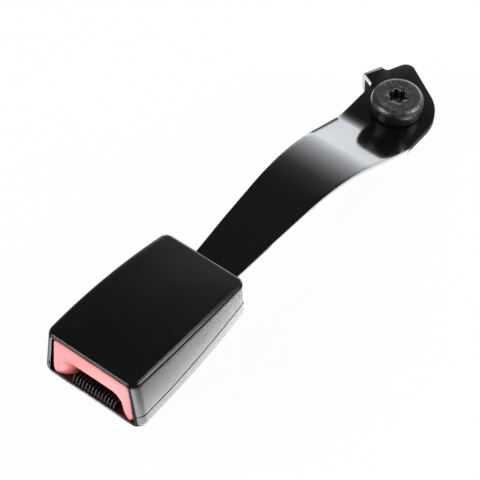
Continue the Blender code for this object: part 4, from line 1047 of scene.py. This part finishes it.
# %% Wire helpers
def wire_grid(path, radius, around=10):
    """A circle of the wire's radius at each point of the path, in the plane across it, with closed ends."""
    path = np.asarray(path, float)
    ahead = np.gradient(path, axis=0)
    ahead = ahead / np.linalg.norm(ahead, axis=1)[:, None]
    first = np.cross(ahead, np.array((0.31, 0.17, 0.93)))
    first = first / np.linalg.norm(first, axis=1)[:, None]
    second = np.cross(ahead, first)
    angle = np.linspace(0.0, 2 * math.pi, around, endpoint=False)[None, :, None]
    rings = path[:, None] + radius * (first[:, None] * np.cos(angle) + second[:, None] * np.sin(angle))
    ends = [np.broadcast_to(path[0], rings[:1].shape), rings, np.broadcast_to(path[-1], rings[:1].shape)]
    return sheet(np.concatenate(ends), wrap_columns=True)


def coil(centre, radius, wire, turns, low, high):
    """A compression spring along Y: angle runs evenly, and the place runs slowly in the flat end turns."""
    share = np.linspace(0.0, 1.0, turns * 20 + 1)
    angle = share * turns * 2 * math.pi
    flat = 1.0 / turns
    middle = np.clip((share - flat) / (1 - 2 * flat), 0.0, 1.0)
    ends = np.clip(share / flat, 0.0, 1.0) + np.clip((share - 1 + flat) / flat, 0.0, 1.0)
    span = high - low - 2 * wire
    rise = wire + ends * 2 * wire + middle * (span - 4 * wire)
    x = centre[0] + radius * np.cos(angle)
    z = centre[1] + radius * np.sin(angle)
    return wire_grid(np.stack([x, low + rise, z], axis=1), wire)


# %% Return springs and the ejector's spring
coil_wire = 0.3


def add_coil(node, x, z, radius, turns, low, high):
    """A coil spring between low and high, with a mesh of its own."""
    spring = dress(node + "_coil", [coil((x, z), radius, coil_wire, turns, low, high)],
                   "housing", "spring_steel", node, merge=0.001)
    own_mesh(spring)


spring_low, spring_high = arm_tail_y + seat_gap, post_y - seat_gap
for side, ending in ((-1, "left"), (1, "right")):
    add_coil("button_spring_" + ending, side * arm_middle, peg_z, 1.7, 8, spring_low, spring_high)
ejector_back = mouth_y + 27.6
ejector_z = base_top + seat_gap + 1.9
add_coil("ejector_spring", 0.0, ejector_z, 1.6, 7, ejector_back + seat_gap, mouth_y + 40.7)

# %% The latch's torsion spring
latch_low, latch_thickness = deck_rise + 8.2, 2.2
latch_wire, latch_coil_radius, latch_coil_half, latch_turns = 0.35, 2.6, 5.0, 6
share = np.linspace(0.0, 1.0, 121)
angle = share * latch_turns * 2 * math.pi
coil_path = np.stack([latch_coil_half * (2 * share - 1), pivot_y - latch_coil_radius * np.sin(angle),
                      pivot_z + latch_coil_radius * np.cos(angle)], axis=1)
rear_leg = np.array([(latch_coil_half, pivot_y + 4.2, pivot_z + 0.3),
                     (latch_coil_half, pivot_y + 5.5, strap_top + seat_gap + latch_wire)])
rear_path = smooth_curve(np.concatenate([coil_path[-1:], rear_leg]), 14)[1:]
dress("latch_spring_coil", [wire_grid(np.concatenate([coil_path, rear_path]), latch_wire)],
      "housing", "spring_steel", "latch_spring", merge=0.001)
leg_end = (-latch_coil_half, pivot_y - 10.4, latch_low + latch_thickness + 0.65)
leg_path = smooth_curve(np.array([coil_path[0], leg_end]), 12)
dress("latch_spring_leg", [wire_grid(leg_path, latch_wire)], "latch", "spring_steel", merge=0.001)

# %% [markdown]
# ## Folded and stamped pieces inside
# The frame, the latch, its pins, the rivets and the ejector already have the right shape in the frame.
# Their CAD meshes stay untouched; a merged copy with a narrow Bevel gives the soft edges of sheet and bar.

# %% Soft-edged copies of CAD nodes
def soften_node(node, name, body, slot, width):
    """A copy of a CAD node with its loose triangles merged and its sharp edges rounded."""
    mesh = nodes[node].data.copy()
    work = bmesh.new()
    work.from_mesh(mesh)
    bmesh.ops.remove_doubles(work, verts=work.verts, dist=0.005 * MM)
    bmesh.ops.dissolve_limit(work, angle_limit=math.radians(1.0), verts=work.verts, edges=work.edges)
    work.to_mesh(mesh)
    work.free()
    item = bpy.data.objects.new(name, mesh)
    bpy.context.scene.collection.objects.link(item)
    round_edges(item, width, 2, 40.0)
    settle(item, body, slot, node)


for node, ending, body, slot, width in (
        ("buckle_frame", "channel", "housing", "frame_steel", 0.2),
        ("frame_rivet_left", "head", "housing", "frame_steel", 0.15),
        ("frame_rivet_right", "head", "housing", "frame_steel", 0.15),
        ("latch_pivot_pin", "bar", "housing", "pin_steel", 0.08),
        ("pivot_clip", "ring", "housing", "spring_steel", 0.1),
        ("frame_pad", "foam", "housing", "pad_foam", 0.2),
        ("latch_plate", "stamping", "latch", "frame_steel", 0.2),
        ("lift_pin", "bar", "latch", "pin_steel", 0.08),
        ("ejector", "slide_moulding", "ejector", "ejector_plastic", 0.15)):
    soften_node(node, node + "_" + ending, body, slot, width)

# %% [markdown]
# ## The stage and the lights
# The photograph has a white ground, dark overhead, and bright soft boxes low behind and to the right.
# Glossy black only shows what it mirrors, so the low soft boxes draw the streak on the strap's slope.
# The floor and the world are white for the camera's own rays, while their light on the object stays plain.

# %% Floor
floor_half, floor_z = 4000.0, -17.2
ends = (-floor_half, floor_half)
floor_grid = np.array([[(x, y, floor_z) for x in ends] for y in ends])
floor = make_object("floor", [sheet(floor_grid)], outward=False)
floor_look = bpy.data.materials.new("white_floor")
floor_look.use_nodes = True
tree = floor_look.node_tree
tree.nodes.clear()
path = add_node(tree, "ShaderNodeLightPath")
matte = add_node(tree, "ShaderNodeBsdfDiffuse", {"Color": (0.85, 0.85, 0.85, 1.0)})
level = remap(tree, path.outputs["Is Glossy Ray"], 0.0, 1.0, 1.0, 0.42)
glow = add_node(tree, "ShaderNodeEmission", {"Color": (1.0, 1.0, 1.0, 1.0), "Strength": level})
seen = calculate(tree, "MAXIMUM", path.outputs["Is Camera Ray"], path.outputs["Is Glossy Ray"])
seen = calculate(tree, "MAXIMUM", seen, path.outputs["Is Transmission Ray"])
share_of_glow = calculate(tree, "MULTIPLY", seen, 0.95)
mix = add_node(tree, "ShaderNodeMixShader", {0: share_of_glow, 1: matte.outputs[0], 2: glow.outputs[0]})
add_node(tree, "ShaderNodeOutputMaterial", {"Surface": mix.outputs[0]})
floor.data.materials.append(floor_look)

# %% World
world = bpy.data.worlds.new("studio")
bpy.context.scene.world = world
world.use_nodes = True
tree = world.node_tree
tree.nodes.clear()
direction = add_node(tree, "ShaderNodeTexCoord").outputs["Generated"]
upward = add_node(tree, "ShaderNodeSeparateXYZ", {"Vector": direction}).outputs["Z"]
ramp = add_node(tree, "ShaderNodeValToRGB", {"Fac": upward})
stops = ((0.0, 0.22), (0.12, 0.20), (0.30, 0.20), (0.50, 0.19), (0.72, 0.15), (1.0, 0.12))
elements = ramp.color_ramp.elements
while len(elements) < len(stops):
    elements.new(0.5)
for element, (place, level) in zip(elements, stops):
    element.position = place
    element.color = (level, level, level, 1.0)
path = add_node(tree, "ShaderNodeLightPath")
plain = calculate(tree, "MAXIMUM", path.outputs["Is Camera Ray"], path.outputs["Is Transmission Ray"])
studio = add_node(tree, "ShaderNodeBackground", {"Color": ramp.outputs["Color"], "Strength": 1.0})
white = add_node(tree, "ShaderNodeBackground", {"Color": (1.0, 1.0, 1.0, 1.0), "Strength": 1.0})
mix = add_node(tree, "ShaderNodeMixShader", {0: plain, 1: studio.outputs[0], 2: white.outputs[0]})
add_node(tree, "ShaderNodeOutputWorld", {"Surface": mix.outputs[0]})


# %% Soft boxes
def soft_box(name, azimuth, elevation, distance, width, height, radiance, colour=(1.0, 1.0, 1.0),
             target=(0.0, -0.11, 0.02)):
    """An area lamp that looks at the target. Azimuth 0 is behind, along +Y, and 90 is to the right.

    A lamp's power is its radiance times its area times pi.
    """
    lamp = bpy.data.lights.new(name, "AREA")
    lamp.shape = "RECTANGLE"
    lamp.size = width
    lamp.size_y = height
    lamp.energy = radiance * width * height * math.pi
    lamp.color = colour
    item = bpy.data.objects.new(name, lamp)
    bpy.context.scene.collection.objects.link(item)
    turn, lift = math.radians(azimuth), math.radians(elevation)
    away = np.array((math.sin(turn) * math.cos(lift), math.cos(turn) * math.cos(lift), math.sin(lift)))
    back = away / np.linalg.norm(away)
    right = np.cross((0.0, 0.0, 1.0), back)
    right = right / np.linalg.norm(right)
    up = np.cross(back, right)
    turned_back = Matrix([right, up, back]).transposed().to_4x4()
    item.matrix_world = Matrix.Translation(np.array(target) + away * distance) @ turned_back
    item.visible_camera = False
    print(name, "at azimuth", azimuth, "elevation", elevation)
    return item


band_levels = ((2.0, 8.4), (6.0, 6.0), (11.0, 4.6), (15.0, 3.5), (20.0, 2.4), (24.5, 1.5), (29.0, 0.7),
               (33.0, 0.3), (38.0, 0.15), (44.0, 0.05))
band_places, band_radiances = np.array(band_levels).T
for level, elevation in enumerate(np.arange(3.5, 44.0, 3.0)):
    radiance = float(np.interp(elevation, band_places, band_radiances))
    soft_box("back_box_%d" % level, -14.0, float(elevation), 1.5, 2.0, 0.0787, radiance, (0.93, 0.96, 1.0))
for values in (("right_box", 62.0, 28.0, 1.3, 0.6, 0.85, 7.0),
               ("shoulder_box", 25.0, 56.0, 1.3, 0.4, 0.35, 6.0),
               ("front_box", -152.0, 21.0, 1.2, 0.75, 0.92, 3.6),
               ("crest_box", -137.0, 56.0, 1.2, 0.35, 0.35, 10.0)):
    soft_box(*values)

# Panels on the floor give the side wall, the lips, the tab and the strap's edge something to mirror.
panel_rise, panel_drop, panel_target = -89.0, 0.035, 0.02
for name, azimuth, width, height, radiance, x, y in (
        ("near_panel", 78.0, 0.32, 0.029, 6.6, 0.0367, -0.160),
        ("side_panel", 78.0, 0.32, 0.028, 1.4, 0.0652, -0.160),
        ("front_panel", 0.0, 0.024, 0.008, 11.0, -0.013, -0.231),
        ("tab_panel", 0.0, 0.024, 0.030, 4.0, -0.037, 0.006),
        ("strap_panel", 90.0, 0.085, 0.026, 4.2, 0.035, -0.045),
        ("left_panel", 0.0, 0.024, 0.028, 2.5, -0.044, -0.238)):
    soft_box(name, azimuth, panel_rise, panel_drop, width, height, radiance, target=(x, y, panel_target))
